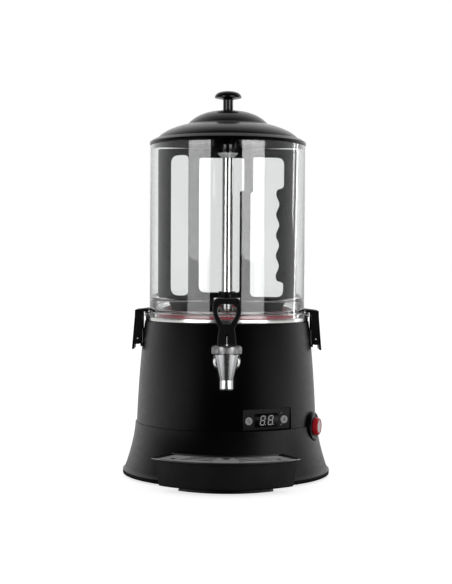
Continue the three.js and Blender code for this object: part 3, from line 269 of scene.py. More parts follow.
def mouldedPlastic(name, dark, light, rough, texture=0.9, depth=0.006, specular=0.5, sheen=0.0):
    # slow patches of two near colours, handling marks that soften the shine, and the grain of the mould
    s = surfaces
    material, tree, places = newFinish(name)
    where = {"Vector": (places, "Object")}
    patches = addNode(tree, "ShaderNodeTexNoise", {
        "Scale": 1000 / s["patches"], "Detail": 2, "Roughness": s["roughness"]}, where)
    start, end = s["colourSpan"]
    colour = addNode(tree, "ShaderNodeValToRGB", {"stops": ((start, dark), (end, light))},
                     {"Fac": (patches, 0)})
    marks = addNode(tree, "ShaderNodeTexNoise", {
        "Scale": 1000 / s["marks"], "Detail": 4, "Roughness": s["roughness"]}, where)
    start, end = s["marksSpan"]
    shine = addNode(tree, "ShaderNodeMapRange", {
        "From Min": start, "From Max": end, "To Min": rough - s["harder"], "To Max": rough + s["softer"]},
        {"Value": (marks, 0)})
    grain = addNode(tree, "ShaderNodeTexNoise", {
        "Scale": 1000 / texture, "Detail": 2, "Roughness": s["roughness"]}, where)
    relief = addNode(tree, "ShaderNodeBump", {"Distance": depth / 1000, "Strength": 1.0},
                     {"Height": (grain, 0)})
    shader = addNode(tree, "ShaderNodeBsdfPrincipled", {
        "IOR": s["plasticIor"], "Specular IOR Level": specular, "Sheen Weight": sheen,
        "Sheen Roughness": s["sheenRoughness"]},
        {"Base Color": (colour, "Color"), "Roughness": (shine, "Result"), "Normal": (relief, "Normal")})
    addNode(tree, "ShaderNodeOutputMaterial", None, {"Surface": (shader, "BSDF")})
    return material


def workedMetal(name, dark, light, rough, stretch, size=0.8, depth=0.002, change=0.05):
    # brush, lathe or casting marks of a size in mm, drawn out the long way of the tool, coarser than real
    # ones so that they still show
    s = surfaces
    material, tree, places = newFinish(name)
    aim = addNode(tree, "ShaderNodeMapping", {"Scale": stretch}, {"Vector": (places, "Object")})
    lines = addNode(tree, "ShaderNodeTexNoise", {
        "Scale": 1000 / size, "Detail": 3, "Roughness": s["roughness"]}, {"Vector": (aim, "Vector")})
    start, end = s["colourSpan"]
    colour = addNode(tree, "ShaderNodeValToRGB", {"stops": ((start, dark), (end, light))},
                     {"Fac": (lines, 0)})
    start, end = s["marksSpan"]
    shine = addNode(tree, "ShaderNodeMapRange", {
        "From Min": start, "From Max": end, "To Min": rough - change, "To Max": rough + change},
        {"Value": (lines, 0)})
    relief = addNode(tree, "ShaderNodeBump", {
        "Distance": depth / 1000, "Strength": s["steelRelief"]}, {"Height": (lines, 0)})
    shader = addNode(tree, "ShaderNodeBsdfPrincipled", {"Metallic": 1.0}, {
        "Base Color": (colour, "Color"), "Roughness": (shine, "Result"), "Normal": (relief, "Normal")})
    addNode(tree, "ShaderNodeOutputMaterial", None, {"Surface": (shader, "BSDF")})
    return material


def clearPlastic(name, tint, rough, ior):
    # light passes and bends at the walls, with a touch of grey where it runs a long way in the plastic
    material, tree, _ = newFinish(name)
    shader = addNode(tree, "ShaderNodeBsdfPrincipled", {
        "Base Color": toLinear(tint), "Transmission Weight": 1.0, "IOR": ior, "Roughness": rough})
    addNode(tree, "ShaderNodeOutputMaterial", None, {"Surface": (shader, "BSDF")})
    return material


# each line above a finish says what its real surface gives the eye
finishes = {
    # an even dull black that shows only broad, soft light
    "satinAbs": mouldedPlastic("Satin black ABS, eroded mould", "030304", "060607", 0.38, specular=0.55),
    # a deep black with clean, narrow shines on its bends
    "lidAbs": mouldedPlastic(
        "Smooth black ABS, polished mould", "040405", "070708", 0.2, 1.6, 0.001, specular=0.3),
    # a black with a waxy, blurred shine
    "blackNylon": mouldedPlastic("Black nylon, moulded", "0d0d0f", "131315", 0.33, 1.1, 0.006),
    # a flat charcoal that stays dark against the white behind it
    "stirrerNylon": mouldedPlastic(
        "Charcoal acetal, moulded", "101012", "171719", 0.45, 1.0, 0.004, specular=0.22),
    # a greyer black with a coarse grain from the glass in it
    "latchNylon": mouldedPlastic("Black glass-filled nylon, moulded", "1a1a1c", "232325", 0.42, 1.2, 0.012),
    # nearly no shine, and a dusty edge
    "rubber": mouldedPlastic("Black nitrile rubber, moulded", "101011", "181819", 0.62, 1.4, 0.02),
    # a satin black a little greyer than the housing, with a low shine
    "trayAbs": mouldedPlastic("Satin black ABS, drip tray", "181819", "202021", 0.34, 0.9, 0.008),
    # a dark grey that turns pale where the light grazes it
    "grilleAbs": mouldedPlastic(
        "Satin dark grey ABS, grille", "2b2b2c", "353536", 0.42, 0.9, 0.012, sheen=0.6),
    # a smooth black sheet with a sharp, weak mirror
    "panelFilm": mouldedPlastic(
        "Dark acrylic film, printed behind", "0f0f11", "141416", 0.14, 3.0, 0.001, specular=0.35),
    # a soft pale grey without a sharp shine
    "keyRubber": mouldedPlastic("Pale grey silicone rubber, moulded", "c0c1c3", "d2d3d5", 0.5, 0.7, 0.01),
    # flat dark and light inks, duller than what they lie on
    "iconInk": mouldedPlastic("Dark grey silk-screen ink", "26272a", "313236", 0.55, 0.7, 0.004),
    "markInk": mouldedPlastic("Light grey silk-screen ink", "7d7e81", "97989b", 0.5, 0.7, 0.004),
    # a warm milky white
    "whiteNylon": mouldedPlastic("Natural white nylon, moulded", "d6d3ca", "e3e0d8", 0.5, 1.0, 0.01),
    # a deep green under a clear lacquer
    "boardLaminate": mouldedPlastic(
        "Green glass-epoxy laminate, coated", "0f3a20", "17502c", 0.32, 1.2, 0.01),
    # a grey coat that softens the cast skin under it
    "motorPaint": mouldedPlastic("Grey stove enamel on cast metal", "5a5d60", "6b6e71", 0.42, 2.0, 0.03),
    # an even cool white
    "digitWhite": mouldedPlastic("Milky polycarbonate light guides", "e0e0e2", "ececee", 0.4, 1.0, 0.002),
    # a full red with a small sharp shine
    "redLens": mouldedPlastic("Red polycarbonate lens, moulded", "dc2632", "ea3340", 0.16, 2.0, 0.002),
    # a pale face that keeps a breath of the red around it
    "capFace": mouldedPlastic("Smoked pink polycarbonate, moulded", "f2dcdc", "f8e6e6", 0.2, 2.0, 0.002),
    # a dull rose red, seen through the foot of the clear wall
    "gasket": mouldedPlastic("Red silicone rubber, moulded", "a9444f", "b85963", 0.4, 1.2, 0.01),
    # a pale grey painted on in place of the silver cone's metal shine, which ends the dark column in a light
    # line
    "paleConePaintedShine": mouldedPlastic("Pale grey, painted shine of a turned cone", "cfcfd1", "dadadc", 0.3, 1.1, 0.002),
    # a deep black with hard, square shines
    "capNylon": mouldedPlastic("Black nylon, polished mould", "08080a", "0e0e10", 0.12, 1.1, 0.002),
    # a satin black with a broad shine along its rounded edges
    "leverNylon": mouldedPlastic("Black acetal, moulded handle", "1b1b1d", "242426", 0.36, 1.1, 0.006),
    # rings of fine lathe marks that spread the shine around
    "ringSteel": workedMetal("Stainless steel, spun ring", "c9c9c6", "dcdcda", 0.2, (0.25, 0.25, 3)),
    # drawn sheet with brush marks around it
    "panSteel": workedMetal("Stainless steel, drawn and brushed", "b4b4b1", "c6c6c3", 0.26, (0.4, 0.4, 2)),
    # a near mirror that pulls the room into upright stripes
    "tubeSteel": workedMetal(
        "Stainless steel, polished tube", "b9b9b7", "c8c8c6", 0.15, (2, 2, 0.08), 1.6, 0.0002, 0.01),
    # turned faces with tight rings
    "nutSteel": workedMetal("Stainless steel, turned", "a9a8a5", "bdbcb9", 0.24, (0.5, 0.5, 3)),
    # the cast skin under the plate breaks the shine into soft clouds
    "castBrass": workedMetal(
        "Cast brass, satin chrome plated", "b6b7b8", "bcbdbe", 0.26, (1, 1, 1), 7, 0.0003, 0.008),
    # a clean, cool mirror with soft edges
    "polishedChrome": workedMetal(
        "Brass, polished and chrome plated", "aaaaa9", "b6b6b5", 0.2, (1, 1, 1), 5, 0.0005, 0.01),
    # a mid grey metal with a wide, cloudy shine
    "satinChrome": workedMetal(
        "Zinc casting, satin chrome plated", "7f7f7f", "878787", 0.42, (1, 1, 1), 3.5, 0.002, 0.03),
    # drawn wire, bright with faint die marks
    "springSteel": workedMetal("Spring wire, stainless", "9d9c99", "b1b0ad", 0.22, (1, 1, 1), 0.9, 0.003),
    # a dark blue-grey oxide with a dull metal shine
    "blackSteel": workedMetal("Steel sheet, blackened", "2b2b2d", "39393b", 0.36, (1, 1, 0.2), 1.1, 0.006),
    # a matt grey casting with a pebbled skin
    "heaterAlloy": workedMetal("Aluminium, die cast", "9a9b9c", "acadae", 0.45, (1, 1, 1), 1.6, 0.02),
    # clear and polished, so only its edges, bends and mirrors show
    "bowlClear": clearPlastic("Clear acrylic, injection moulded", "eeefef", 0.0, 1.49),
}
print("finishes ready:", len(finishes))

# distances in mm and angles in degrees from the front; a strip is (azimuth, width, brightness, lean),
# a card is (azimuth, brightness) and a soft lamp is (across, deep, height, size, brightness)
studio = {
    "cameraBack": 2017, "cameraHeight": 322, "cameraAside": -1.8, "cameraLens": 81.8, "cameraRoll": -0.35,
    "frameShift": -0.0561, "sensor": 36, "fillLevel": 0.42, "darkFrom": -0.3, "whiteFrom": 0.85,
    "frontGlow": 0.004, "sideGlow": 0.9, "floorSize": 60, "floorWhite": "ececec", "floorGlow": 0.75,
    "tableSlope": 1.7, "table": (0.15, 1.3),
    "stripDistance": 1600, "stripHeight": 1150, "stripMiddle": 640,
    "strips": {"left": (-41, 960, 3.6, 0), "right": (37, 960, 4.6, 0), "edge": (121, 110, 7, 28)},
    "cards": {"left": (-57, 0.9), "right": (57, 1.0)},
    "cardCentre": 160, "cardReach": 330, "cardSize": (330, 170), "cardMiddle": 88, "cardTilt": 100,
    "softLamps": {
        "grille left": (-1000, 500, 800, 900, 5), "grille right": (1000, 500, 800, 900, 5),
        "tray side left": (-1200, -100, 250, 500, 8), "tray side right": (1200, -100, 250, 500, 9),
        "skirt right": (1040, -600, 450, 900, 0.5)},
    "softAim": (0, -170, 45),
}


def setCamera():
    camera = bpy.data.cameras.new("Camera")
    holder = bpy.data.objects.new("Camera", camera)
    bpy.context.scene.collection.objects.link(holder)
    camera.sensor_fit = "VERTICAL"
    camera.sensor_height = studio["sensor"]
    camera.lens = studio["cameraLens"]
    camera.shift_y = studio["frameShift"]
    camera.clip_end = 100
    holder.location = spot(studio["cameraAside"], -studio["cameraBack"], studio["cameraHeight"])
    holder.rotation_euler = (math.radians(90), math.radians(studio["cameraRoll"]), 0)
    bpy.context.scene.camera = holder
    bpy.context.scene.view_settings.view_transform = "Standard"


def seenClear(tree, path):
    # 1 for the camera and for what it sees through clear walls, 0 once light has bounced off something
    bounced = addNode(tree, "ShaderNodeMath", {"operation": "ADD"},
                      {0: (path, "Glossy Depth"), 1: (path, "Diffuse Depth")})
    straight = addNode(tree, "ShaderNodeMath", {"operation": "LESS_THAN", 1: 0.5}, {0: (bounced, 0)})
    through = addNode(tree, "ShaderNodeMath", {"operation": "MULTIPLY"},
                      {0: (path, "Is Transmission Ray"), 1: (straight, 0)})
    return addNode(tree, "ShaderNodeMath", {"operation": "MAXIMUM"},
                   {0: (path, "Is Camera Ray"), 1: (through, 0)})


def mirrored(tree, path):
    # 1 where a shine sees the room, also by way of a clear wall
    glossy = addNode(tree, "ShaderNodeMath", {"operation": "GREATER_THAN", 1: 0.5},
                     {0: (path, "Glossy Depth")})
    return addNode(tree, "ShaderNodeMath", {"operation": "SUBTRACT", "use_clamp": True},
                   {0: (glossy, 0), 1: (path, "Diffuse Depth")})


def setRoom():
    world = bpy.data.worlds.new("White studio")
    bpy.context.scene.world = world
    world.use_nodes = True
    tree = world.node_tree
    tree.nodes.clear()
    path = addNode(tree, "ShaderNodeLightPath")
    places = addNode(tree, "ShaderNodeTexCoord")
    ways = addNode(tree, "ShaderNodeSeparateXYZ", None, {"Vector": (places, "Generated")})
    # a shine sees white behind the machine, falling off to a dark room in front of it
    white = addNode(tree, "ShaderNodeMapRange", {
        "interpolation_type": "SMOOTHSTEP", "From Min": studio["darkFrom"], "From Max": studio["whiteFrom"],
        "To Min": studio["frontGlow"], "To Max": 1.0}, {"Value": (ways, "Y")})
    shine = addNode(tree, "ShaderNodeMix", {"data_type": "FLOAT", 2: studio["fillLevel"]},
                    {0: (mirrored(tree, path), 0), 3: (white, "Result")})
    level = addNode(tree, "ShaderNodeMix", {"data_type": "FLOAT", 3: 1.0},
                    {0: (seenClear(tree, path), 0), 2: (shine, 0)})
    light = addNode(tree, "ShaderNodeBackground", {"Color": (1, 1, 1, 1)}, {"Strength": (level, 0)})
    addNode(tree, "ShaderNodeOutputWorld", None, {"Surface": (light, "Background")})


def setFloor():
    deselectAll()
    bpy.ops.mesh.primitive_plane_add(size=studio["floorSize"], location=(0, 0, 0))
    floor = bpy.context.object
    floor.name = "Floor"
    material, tree, places = newFinish("White paper sweep, matt")
    path = addNode(tree, "ShaderNodeLightPath")
    ways = addNode(tree, "ShaderNodeSeparateXYZ", None, {"Vector": (places, "Object")})
    # the glow lifts the paper to white for the camera, and the shadow stays on it
    paper = addNode(tree, "ShaderNodeBsdfDiffuse", {"Color": toLinear(studio["floorWhite"])})
    glow = addNode(tree, "ShaderNodeEmission", {"Strength": studio["floorGlow"]})
    lit = addNode(tree, "ShaderNodeAddShader", None, {0: (paper, 0), 1: (glow, 0)})
    bright = addNode(tree, "ShaderNodeMixShader", None,
                     {0: (seenClear(tree, path), 0), 1: (paper, 0), 2: (lit, 0)})
    # a shine sees the table dark in front of the machine and white beside and behind it
    across = addNode(tree, "ShaderNodeMath", {"operation": "ABSOLUTE"}, {0: (ways, "X")})
    edge = addNode(tree, "ShaderNodeMath", {"operation": "MULTIPLY_ADD", 1: studio["tableSlope"]},
                   {0: (across, 0), 2: (ways, "Y")})
    start, end = studio["table"]
    sides = addNode(tree, "ShaderNodeMapRange", {
        "interpolation_type": "SMOOTHSTEP", "From Min": start, "From Max": end,
        "To Min": studio["frontGlow"], "To Max": studio["sideGlow"]}, {"Value": (edge, 0)})
    shine = addNode(tree, "ShaderNodeEmission", None, {"Strength": (sides, "Result")})
    whole = addNode(tree, "ShaderNodeMixShader", None,
                    {0: (mirrored(tree, path), 0), 1: (bright, 0), 2: (shine, 0)})
    addNode(tree, "ShaderNodeOutputMaterial", None, {"Surface": (whole, 0)})
    floor.data.materials.append(material)


# only clear, chromed and polished parts stand in the light of the strip boxes
shinyParts = bpy.data.collections.new("Parts that mirror the strip boxes")
tapParts = bpy.data.collections.new("Parts that mirror the tap cards")
softlyLit = {name: bpy.data.collections.new("Part lit by the soft lamps: " + name)
             for name in ("tray", "grille", "skirt")}
unshaded = bpy.data.collections.new("Parts that hold no strip light back")


def addLamp(name, wide, tall, brightness, location, rotation, litParts):
    # a flat lamp whose brightness is the same at any size
    lamp = bpy.data.lights.new(name, "AREA")
    lamp.shape = "RECTANGLE"
    lamp.size, lamp.size_y = wide / 1000, tall / 1000
    lamp.energy = brightness * 4 * lamp.size * lamp.size_y
    holder = bpy.data.objects.new(name, lamp)
    bpy.context.scene.collection.objects.link(holder)
    holder.location = location
    holder.rotation_euler = rotation
    holder.light_linking.receiver_collection = litParts
    return holder


def setLamps():
    middle = spot(0, 0, studio["stripMiddle"])
    for name, (azimuth, width, brightness, lean) in studio["strips"].items():
        turn = math.radians(azimuth)
        out = Vector((math.sin(turn), -math.cos(turn), 0)) * studio["stripDistance"] / 1000
        holder = addLamp("Strip box " + name, width, studio["stripHeight"], brightness, middle + out,
                         (math.radians(90), math.radians(lean), turn), shinyParts)
        holder.light_linking.blocker_collection = unshaded
    # two small cards light only the tap, low down at either side of it
    reach, centre = studio["cardReach"], studio["cardCentre"]
    for name, (azimuth, brightness) in studio["cards"].items():
        turn = math.radians(azimuth)
        stand = spot(math.sin(turn) * reach, -centre - math.cos(turn) * reach, studio["cardMiddle"])
        holder = addLamp("Tap card " + name, *studio["cardSize"], brightness, stand,
                         (math.radians(studio["cardTilt"]), 0, turn), tapParts)
        holder.visible_camera = False
    # soft lamps from behind give the grille its satin shine, weaker ones at the sides draw the tray's rim
    for name, (x, y, z, size, brightness) in studio["softLamps"].items():
        aim = spot(x, y, z) - spot(*studio["softAim"])
        addLamp("Soft lamp " + name, size, size, brightness, spot(x, y, z),
                aim.to_track_quat("Z", "Y").to_euler(), softlyLit[name.split()[0]])


setCamera()
setRoom()
setFloor()
setLamps()
print("camera, room, floor and lamps set")


def moved(x, y, z):
    # a move in mm
    return Matrix.Translation((x / 1000, y / 1000, z / 1000))


# to and from the machine's own origin, and the two turns that stand a flat piece up
onMachine = Matrix.Translation(spot(0, 0, 0))
offMachine = Matrix.Translation(-spot(0, 0, 0))
upright = Matrix.Rotation(math.radians(90), 4, "X")
sideways = Matrix.Rotation(math.radians(90), 4, "Y")


def block(name, low, high):
    # a block between two corners in mm, to be placed on a face or on the machine
    deselectAll()
    bpy.ops.mesh.primitive_cube_add(size=0.001)
    made = bpy.context.object
    made.name = name
    middle = [(a + b) / 2000 for a, b in zip(low, high)]
    return place(made, Matrix.Translation(middle) @ Matrix.Diagonal((*[b - a for a, b in zip(low, high)], 1)))


def rod(radius, depth, sides=64):
    # a round bar around the origin, to cut with or to add
    deselectAll()
    bpy.ops.mesh.primitive_cylinder_add(vertices=sides, radius=radius / 1000, depth=depth / 1000)
    return bpy.context.object


def disc(radius, low, high, at=(0, 0), sides=64):
    return place(rod(radius, high - low, sides), moved(at[0], at[1], (low + high) / 2))


def rodOut(azimuth, reach, height, radius):
    # a round bar that runs out through a wall
    return place(rod(radius, machine["through"]), facing(azimuth, reach, height))


def lying(azimuth, reach, height, corners, name, steps=64):
    # a turned piece whose axis points out of the machine, its heights counted from a reach
    made = place(turned(name, corners, steps=steps), offMachine)
    return place(made, facing(azimuth, reach, height))


def circle(radius, at=(0, 0), count=40):
    turns = (2 * math.pi * k / count for k in range(count))
    return [(at[0] + radius * math.cos(turn), at[1] + radius * math.sin(turn)) for turn in turns]


# holes are (radius, reach, height), points are (radius, height)
base = {
    "skirtTop": 137.5, "skirtFoot": 156, "skirtHeight": 77, "flare": 1.55, "skirtSteps": 26, "wall": 3,
    "band": 6, "bandBevel": 3, "bandEdges": (1.0, 0.7), "flangeWidth": 18, "flangeFoot": 2.3, "ledge": 128,
    "shellFoot": (135.5, 77.3), "shellBulge": (132.05, 165.3), "shellTop": (124, 229),
    "shellSteps": (28, 12), "edge": 0.8, "glandHole": (6.3, 140, 35), "shankHole": (9.3, 130, 178),
}


def skirtRadius(height):
    rise = max(0, 1 - height / base["skirtHeight"])
    return base["skirtTop"] + (base["skirtFoot"] - base["skirtTop"]) * rise ** base["flare"]


def makeBase():
    b = base
    wall, foot, flange, low = b["wall"], b["skirtFoot"], b["skirtFoot"] - b["flangeWidth"], b["flangeFoot"]
    start, top = b["band"] + b["bandBevel"], b["skirtHeight"]
    heights = [start + i * (top - start) / b["skirtSteps"] for i in range(b["skirtSteps"])]
    outside = [(skirtRadius(z), z) for z in heights] + [(b["skirtTop"], top, b["edge"])]
    inside = [(skirtRadius(z) - wall, z) for z in heights if z < top - wall - 1]
    skirt = turned("skirt", [
        (flange, low), (foot - wall, low), (foot - wall, 0), (foot, 0, b["bandEdges"][0]),
        (foot, b["band"], b["bandEdges"][1]), *outside, (b["ledge"], top), (b["ledge"], top - wall),
        (b["skirtTop"] - wall, top - wall), *reversed(inside), (foot - wall, low + wall),
        (flange, low + wall)])
    radius, reach, height = b["glandHole"]
    cutAway(skirt, rodOut(180, reach, height, radius))
    curve = (b["shellFoot"], b["shellBulge"], b["shellTop"])
    fine, coarse = b["shellSteps"]
    across, top = b["shellTop"]
    shell = turned("shell", [
        *bend(*curve, fine)[:-1], (across, top, b["edge"]), (across - wall, top),
        *[(r - wall, z) for r, z in reversed(bend(*curve, coarse)[:-1])]])
    radius, reach, height = b["shankHole"]
    cutAway(shell, rodOut(0, reach, height, radius))
    return skirt, shell


# bezel and cap are turned about the switch's axis: (radius, how far out of its face, rounding)
power = {
    "azimuth": 69.3, "height": 75.3, "hole": 21.7, "wallReach": 155, "face": 141, "window": 9.2,
    "bezel": [(4.3, -16), (21.4, -16), (21.4, -2.2, 0.6), (19.8, -0.4, 0.8), (17.4, 0, 0.5),
              (16.4, -1.2, 0.5), (14.6, -1.2, 0.4), (14.2, 0, 0.3), (13.3, 0, 0.2), (13.3, -13), (4.3, -13)],
    "cap": [(0, -21.5), (4, -21.5), (4, -9.5), (13, -9.5), (13, 4.8, 0.8), (11.5, 6.6, 0.9), (9.8, 7, 0.4),
            (9.2, 6.3, 0.3), (4, 6.1), (0, 6.05)],
    "faceSlope": 0.7,
}
# lengths across and up are counted from the middle of the display
panel = {
    "azimuth": 27, "face": 127, "foot": 77.3, "rise": 14, "halfWidth": 39, "top": 17, "thick": 3, "rim": 1.3,
    "rimProud": 0.5, "edge": 0.45, "fit": 0.3, "recess": (52, 3.3, 60), "cutDepth": 9,
    "post": (20.5, 2.5), "postLength": (12.7, 2.5), "display": (19, 9.5), "displayEdge": 0.3, "proud": 0.4,
    "print": (0.08, 0.01), "digitHeight": 12.6, "digitWidth": 6.6, "digitPlaces": (-6.3, 6.6), "digitLean": 8,
    "stroke": 1.5, "barGap": 0.25, "dot": (0.8, 1.7),
    "marks": [[(22.4, 8.6), (23.6, 8.3), (25.8, 9.6), (24.9, 10.6)],
              [(21.9, -8.1), (24.2, -8.6), (26.1, -5.4), (24.6, -5.6)]],
    "lamps": [(18.2, 9.3), (18.4, -6.6)], "lampRadius": 0.8,
}
# a key is turned like the switch; a whisk's blade is given as (reach, turn), the cross as three bars
keys = {
    "offset": 28.8, "hole": 6.05, "dish": 0.7,
    "profile": [(0, -5.9), (7, -5.9), (7, -3.9, 0.2), (5.75, -3.9), (5.75, 0.8, 0.6), (4.55, 0.9), (0, 0.55)],
    "ring": (4.4, 0.55), "print": (0.12, 0.01), "blade": [(0.5, -1.2), (2.9, -0.42), (3.1, 0), (0.7, 0.5)],
    "cross": [((-2.6, 2.6), (2.6, -2.6), 0.35), ((0.3, -2.9), (2.9, -0.3), 0.3),
              ((-2.9, 0.2), (-0.2, 2.9), 0.3)],
}
panelSeat = facing(panel["azimuth"], panel["face"], panel["foot"] + panel["rise"])


def openHousing(skirt, shell):
    # the hole for the switch crosses both walls, the panel's recess only the upper one
    for wall in (skirt, shell):
        cutAway(wall, rodOut(power["azimuth"], power["wallReach"], power["height"], power["hole"]))
    half = panel["halfWidth"] + panel["fit"]
    low, deep, out = panel["recess"]
    recess = block("recess", (-half, -low, -deep), (half, panel["top"] + panel["fit"], out))
    cutAway(shell, place(recess, panelSeat))


skirt, shell = makeBase()
openHousing(skirt, shell)
finishPiece(skirt, "base", finishes["satinAbs"], "satin_black", "lower_skirt")
finishPiece(shell, "base", finishes["satinAbs"], "satin_black", "upper_shell")
print("skirt and shell made")


def barOutline(start, end, half):
    # one bar of a seven-bar digit, pointed at both ends
    along = (Vector(end) - Vector(start)).normalized()
    side = Vector((-along.y, along.x)) * half
    start, end = Vector(start) + along * panel["barGap"], Vector(end) - along * panel["barGap"]
    return [start, start + along * half + side, end - along * half + side, end, end - along * half - side,
            start + along * half - side]


def digitOutlines(centre):
    wide, tall = panel["digitWidth"] / 2, panel["digitHeight"] / 2
    lean = math.tan(math.radians(panel["digitLean"]))
    level = [((-wide, up), (wide, up)) for up in (tall, 0, -tall)]
    standing = [((x, low), (x, low + tall)) for low in (0, -tall) for x in (-wide, wide)]
    bars = [barOutline(a, b, panel["stroke"] / 2) for a, b in level + standing]
    radius, aside = panel["dot"]
    bars.append(circle(radius, (wide + aside, -tall), 12))
    return [[(centre + x + y * lean, y) for x, y in bar] for bar in bars]


def makePanel():
    p = panel
    wide, low, top, rim, fit, deep = p["halfWidth"], -p["rise"], p["top"], p["rim"], p["fit"], p["cutDepth"]
    plate = block("panel_plate", (-wide, low, -p["thick"]), (wide, top, p["rimProud"]))
    roundEdges(plate, p["edge"])
    across, up = p["display"]
    cutAway(plate, block("field", (rim - wide, low + rim, 0), (wide - rim, top - rim, deep)),
            block("hole", (-across - fit, -up - fit, -deep), (across + fit, up + fit, deep)),
            *[disc(keys["hole"], -deep, deep, (side * keys["offset"], 0)) for side in (-1, 1)])
    # four posts carry the circuit board
    aside, radius = p["post"]
    back, front = p["postLength"]
    joined(plate, *[disc(radius, -back, -front, (x, y), 24)
                    for x in (-aside, aside) for y in (low + radius, top - radius)])
    finishPiece(place(plate, panelSeat), "base", finishes["panelFilm"], "gloss_black", "control_panel")
    pane = block("display_pane", (-across, -up, -p["thick"]), (across, up, p["proud"]))
    roundEdges(pane, p["displayEdge"])
    finishPiece(place(pane, panelSeat), "base", finishes["panelFilm"], "gloss_black", "display_window")
    thick, edge = p["print"]
    digits = flatPlate("digits", [bar for at in p["digitPlaces"] for bar in digitOutlines(at)], thick, edge)
    place(digits, panelSeat @ moved(0, 0, p["proud"] + thick / 2))
    finishPiece(digits, "base", finishes["digitWhite"], "pale_key")
    lamps = [circle(p["lampRadius"], at, 16) for at in p["lamps"]]
    marks = flatPlate("lamp_marks", p["marks"] + lamps, thick, edge)
    finishPiece(place(marks, panelSeat @ moved(0, 0, thick / 2)), "base", finishes["markInk"], "pale_key")


def makeKey(name, side):
    k = keys
    seat = panelSeat @ moved(side * k["offset"], 0, 0)
    key = turned("key_cap_" + name, k["profile"], steps=48)
    place(key, seat @ offMachine)
    finishPiece(key, "key_" + name, finishes["keyRubber"], "pale_key", "key_" + name)
    # a whisk on the right key, a crossed bar on the left one
    whisk = [[(reach * math.cos(turn + third), reach * math.sin(turn + third)) for reach, turn in k["blade"]]
             for third in (math.pi / 2 + i * 2 * math.pi / 3 for i in range(3))]
    cross = [barOutline(*bar) for bar in k["cross"]]
    radius, width = k["ring"]
    ring = [circle(radius), circle(radius - width)]
    icon = flatPlate("key_icon_" + name, ring + (whisk if side > 0 else cross), *k["print"])
    place(icon, seat @ moved(0, 0, k["dish"]))
    finishPiece(icon, "key_" + name, finishes["iconInk"], "pale_key")


makePanel()
makeKey("left", -1)
makeKey("right", 1)
print("control panel and keys made")


def makePower():
    p = power
    seat = (p["azimuth"], p["face"], p["height"])
    bezel = lying(*seat, p["bezel"], "switch_bezel", 96)
    finishPiece(bezel, "base", finishes["blackNylon"], "gloss_black", "power_bezel")
    cap = lying(*seat, p["cap"], "switch_cap", 96)
    finishPiece(cap, "power_cap", finishes["redLens"], "red_lens", "power_cap")
    # the sunk middle of the cap's front gets the pale face
    cap.data.materials.append(finishes["capFace"])
    out = facing(*seat).to_3x3() @ Vector((0, 0, 1))
    middle = facing(*seat).translation
    for polygon in cap.data.polygons:
        where = polygon.center - middle
        proud = where.dot(out)
        inWindow = (where - out * proud).length < p["window"] / 1000
        if polygon.normal.dot(out) > p["faceSlope"] and inWindow and proud > 0:
            polygon.material_index = 1


makePower()
print("power switch made")


pan = {"wall": 2, "floor": 164, "radius": 90, "ring": (123, 229.3, 235.3), "shankHole": (9.3, 75, 178),
       "columnHole": (8.7, 150, 180)}
bowl = {
    "radius": 117.5, "wall": 3, "foot": 235.6, "top": 494, "flange": (124.6, 241.6),
    "groove": (99.7, 108.3, 239.4), "mouth": 98, "mouthTop": 242.2, "floor": (110.6, 245.4),
    "step": (111.2, 259.3), "ledge": 263.3, "steps": 160,
    "seal": [(100, 231.6, 1), (108, 231.6, 1), (108, 236.2, 0.6), (106.6, 239.1, 0.8), (101.4, 239.1, 0.8),
             (100, 236.2, 0.6)],
}
column = {"radius": 8.4, "bore": 6.9, "foot": 150, "top": 473, "flange": (16, 166.3, 168.3)}


def makePan():
    wall, floor, inner = pan["wall"], pan["floor"], pan["radius"] - pan["wall"]
    reach, low, high = pan["ring"]
    bath = turned("pan_and_ring", [
        (0, floor), (pan["radius"], floor, 5), (pan["radius"], low, 1), (reach, low, 1.4), (reach, high, 0.8),
        (reach - wall, high, 0.6), (reach - wall, low + wall, 0.8), (inner, low + wall, 2.5),
        (inner, floor + wall, 4), (0, floor + wall)])
    radius, out, height = pan["shankHole"]
    cutAway(bath, rodOut(0, out, height, radius), place(disc(*pan["columnHole"]), onMachine))
    finishPiece(bath, "base", finishes["ringSteel"], "steel", "product_pan")


def makeBowl():
    b = bowl
    outer, inner, foot, top = b["radius"], b["radius"] - b["wall"], b["foot"], b["top"]
    near, far, roof = b["groove"]
    across, shelf = b["flange"]
    clear = turned("clear_bowl", [
        (b["mouth"], foot, 0.4), (near, foot, 0.2), (near, roof, 0.2), (far, roof, 0.2), (far, foot, 0.2),
        (across, foot, 0.8), (across, shelf, 1.2), (outer, shelf, 1.5), (outer, top, 0.9), (inner, top, 0.9),
        (inner, b["ledge"], 3), (*b["step"], 1.5), (*b["floor"], 3), (b["mouth"], b["mouthTop"], 1.2)],
        steps=b["steps"])
    finishPiece(clear, "base", finishes["bowlClear"], "clear_plastic", "bowl")
    finishPiece(turned("bowl_seal", b["seal"]), "base", finishes["gasket"], "red_silicone", "bowl_gasket")


def makeColumn():
    radius, bore, foot, top = column["radius"], column["bore"], column["foot"], column["top"]
    across, low, high = column["flange"]
    tube = turned("column", [
        (bore, foot), (radius, foot), (radius, low, 0.3), (across, low), (across, high, 0.7),
        (radius, high, 1.2), (radius, top, 0.5), (bore, top, 0.3)], steps=64)
    finishPiece(tube, "base", finishes["tubeSteel"], "steel", "column_tube")


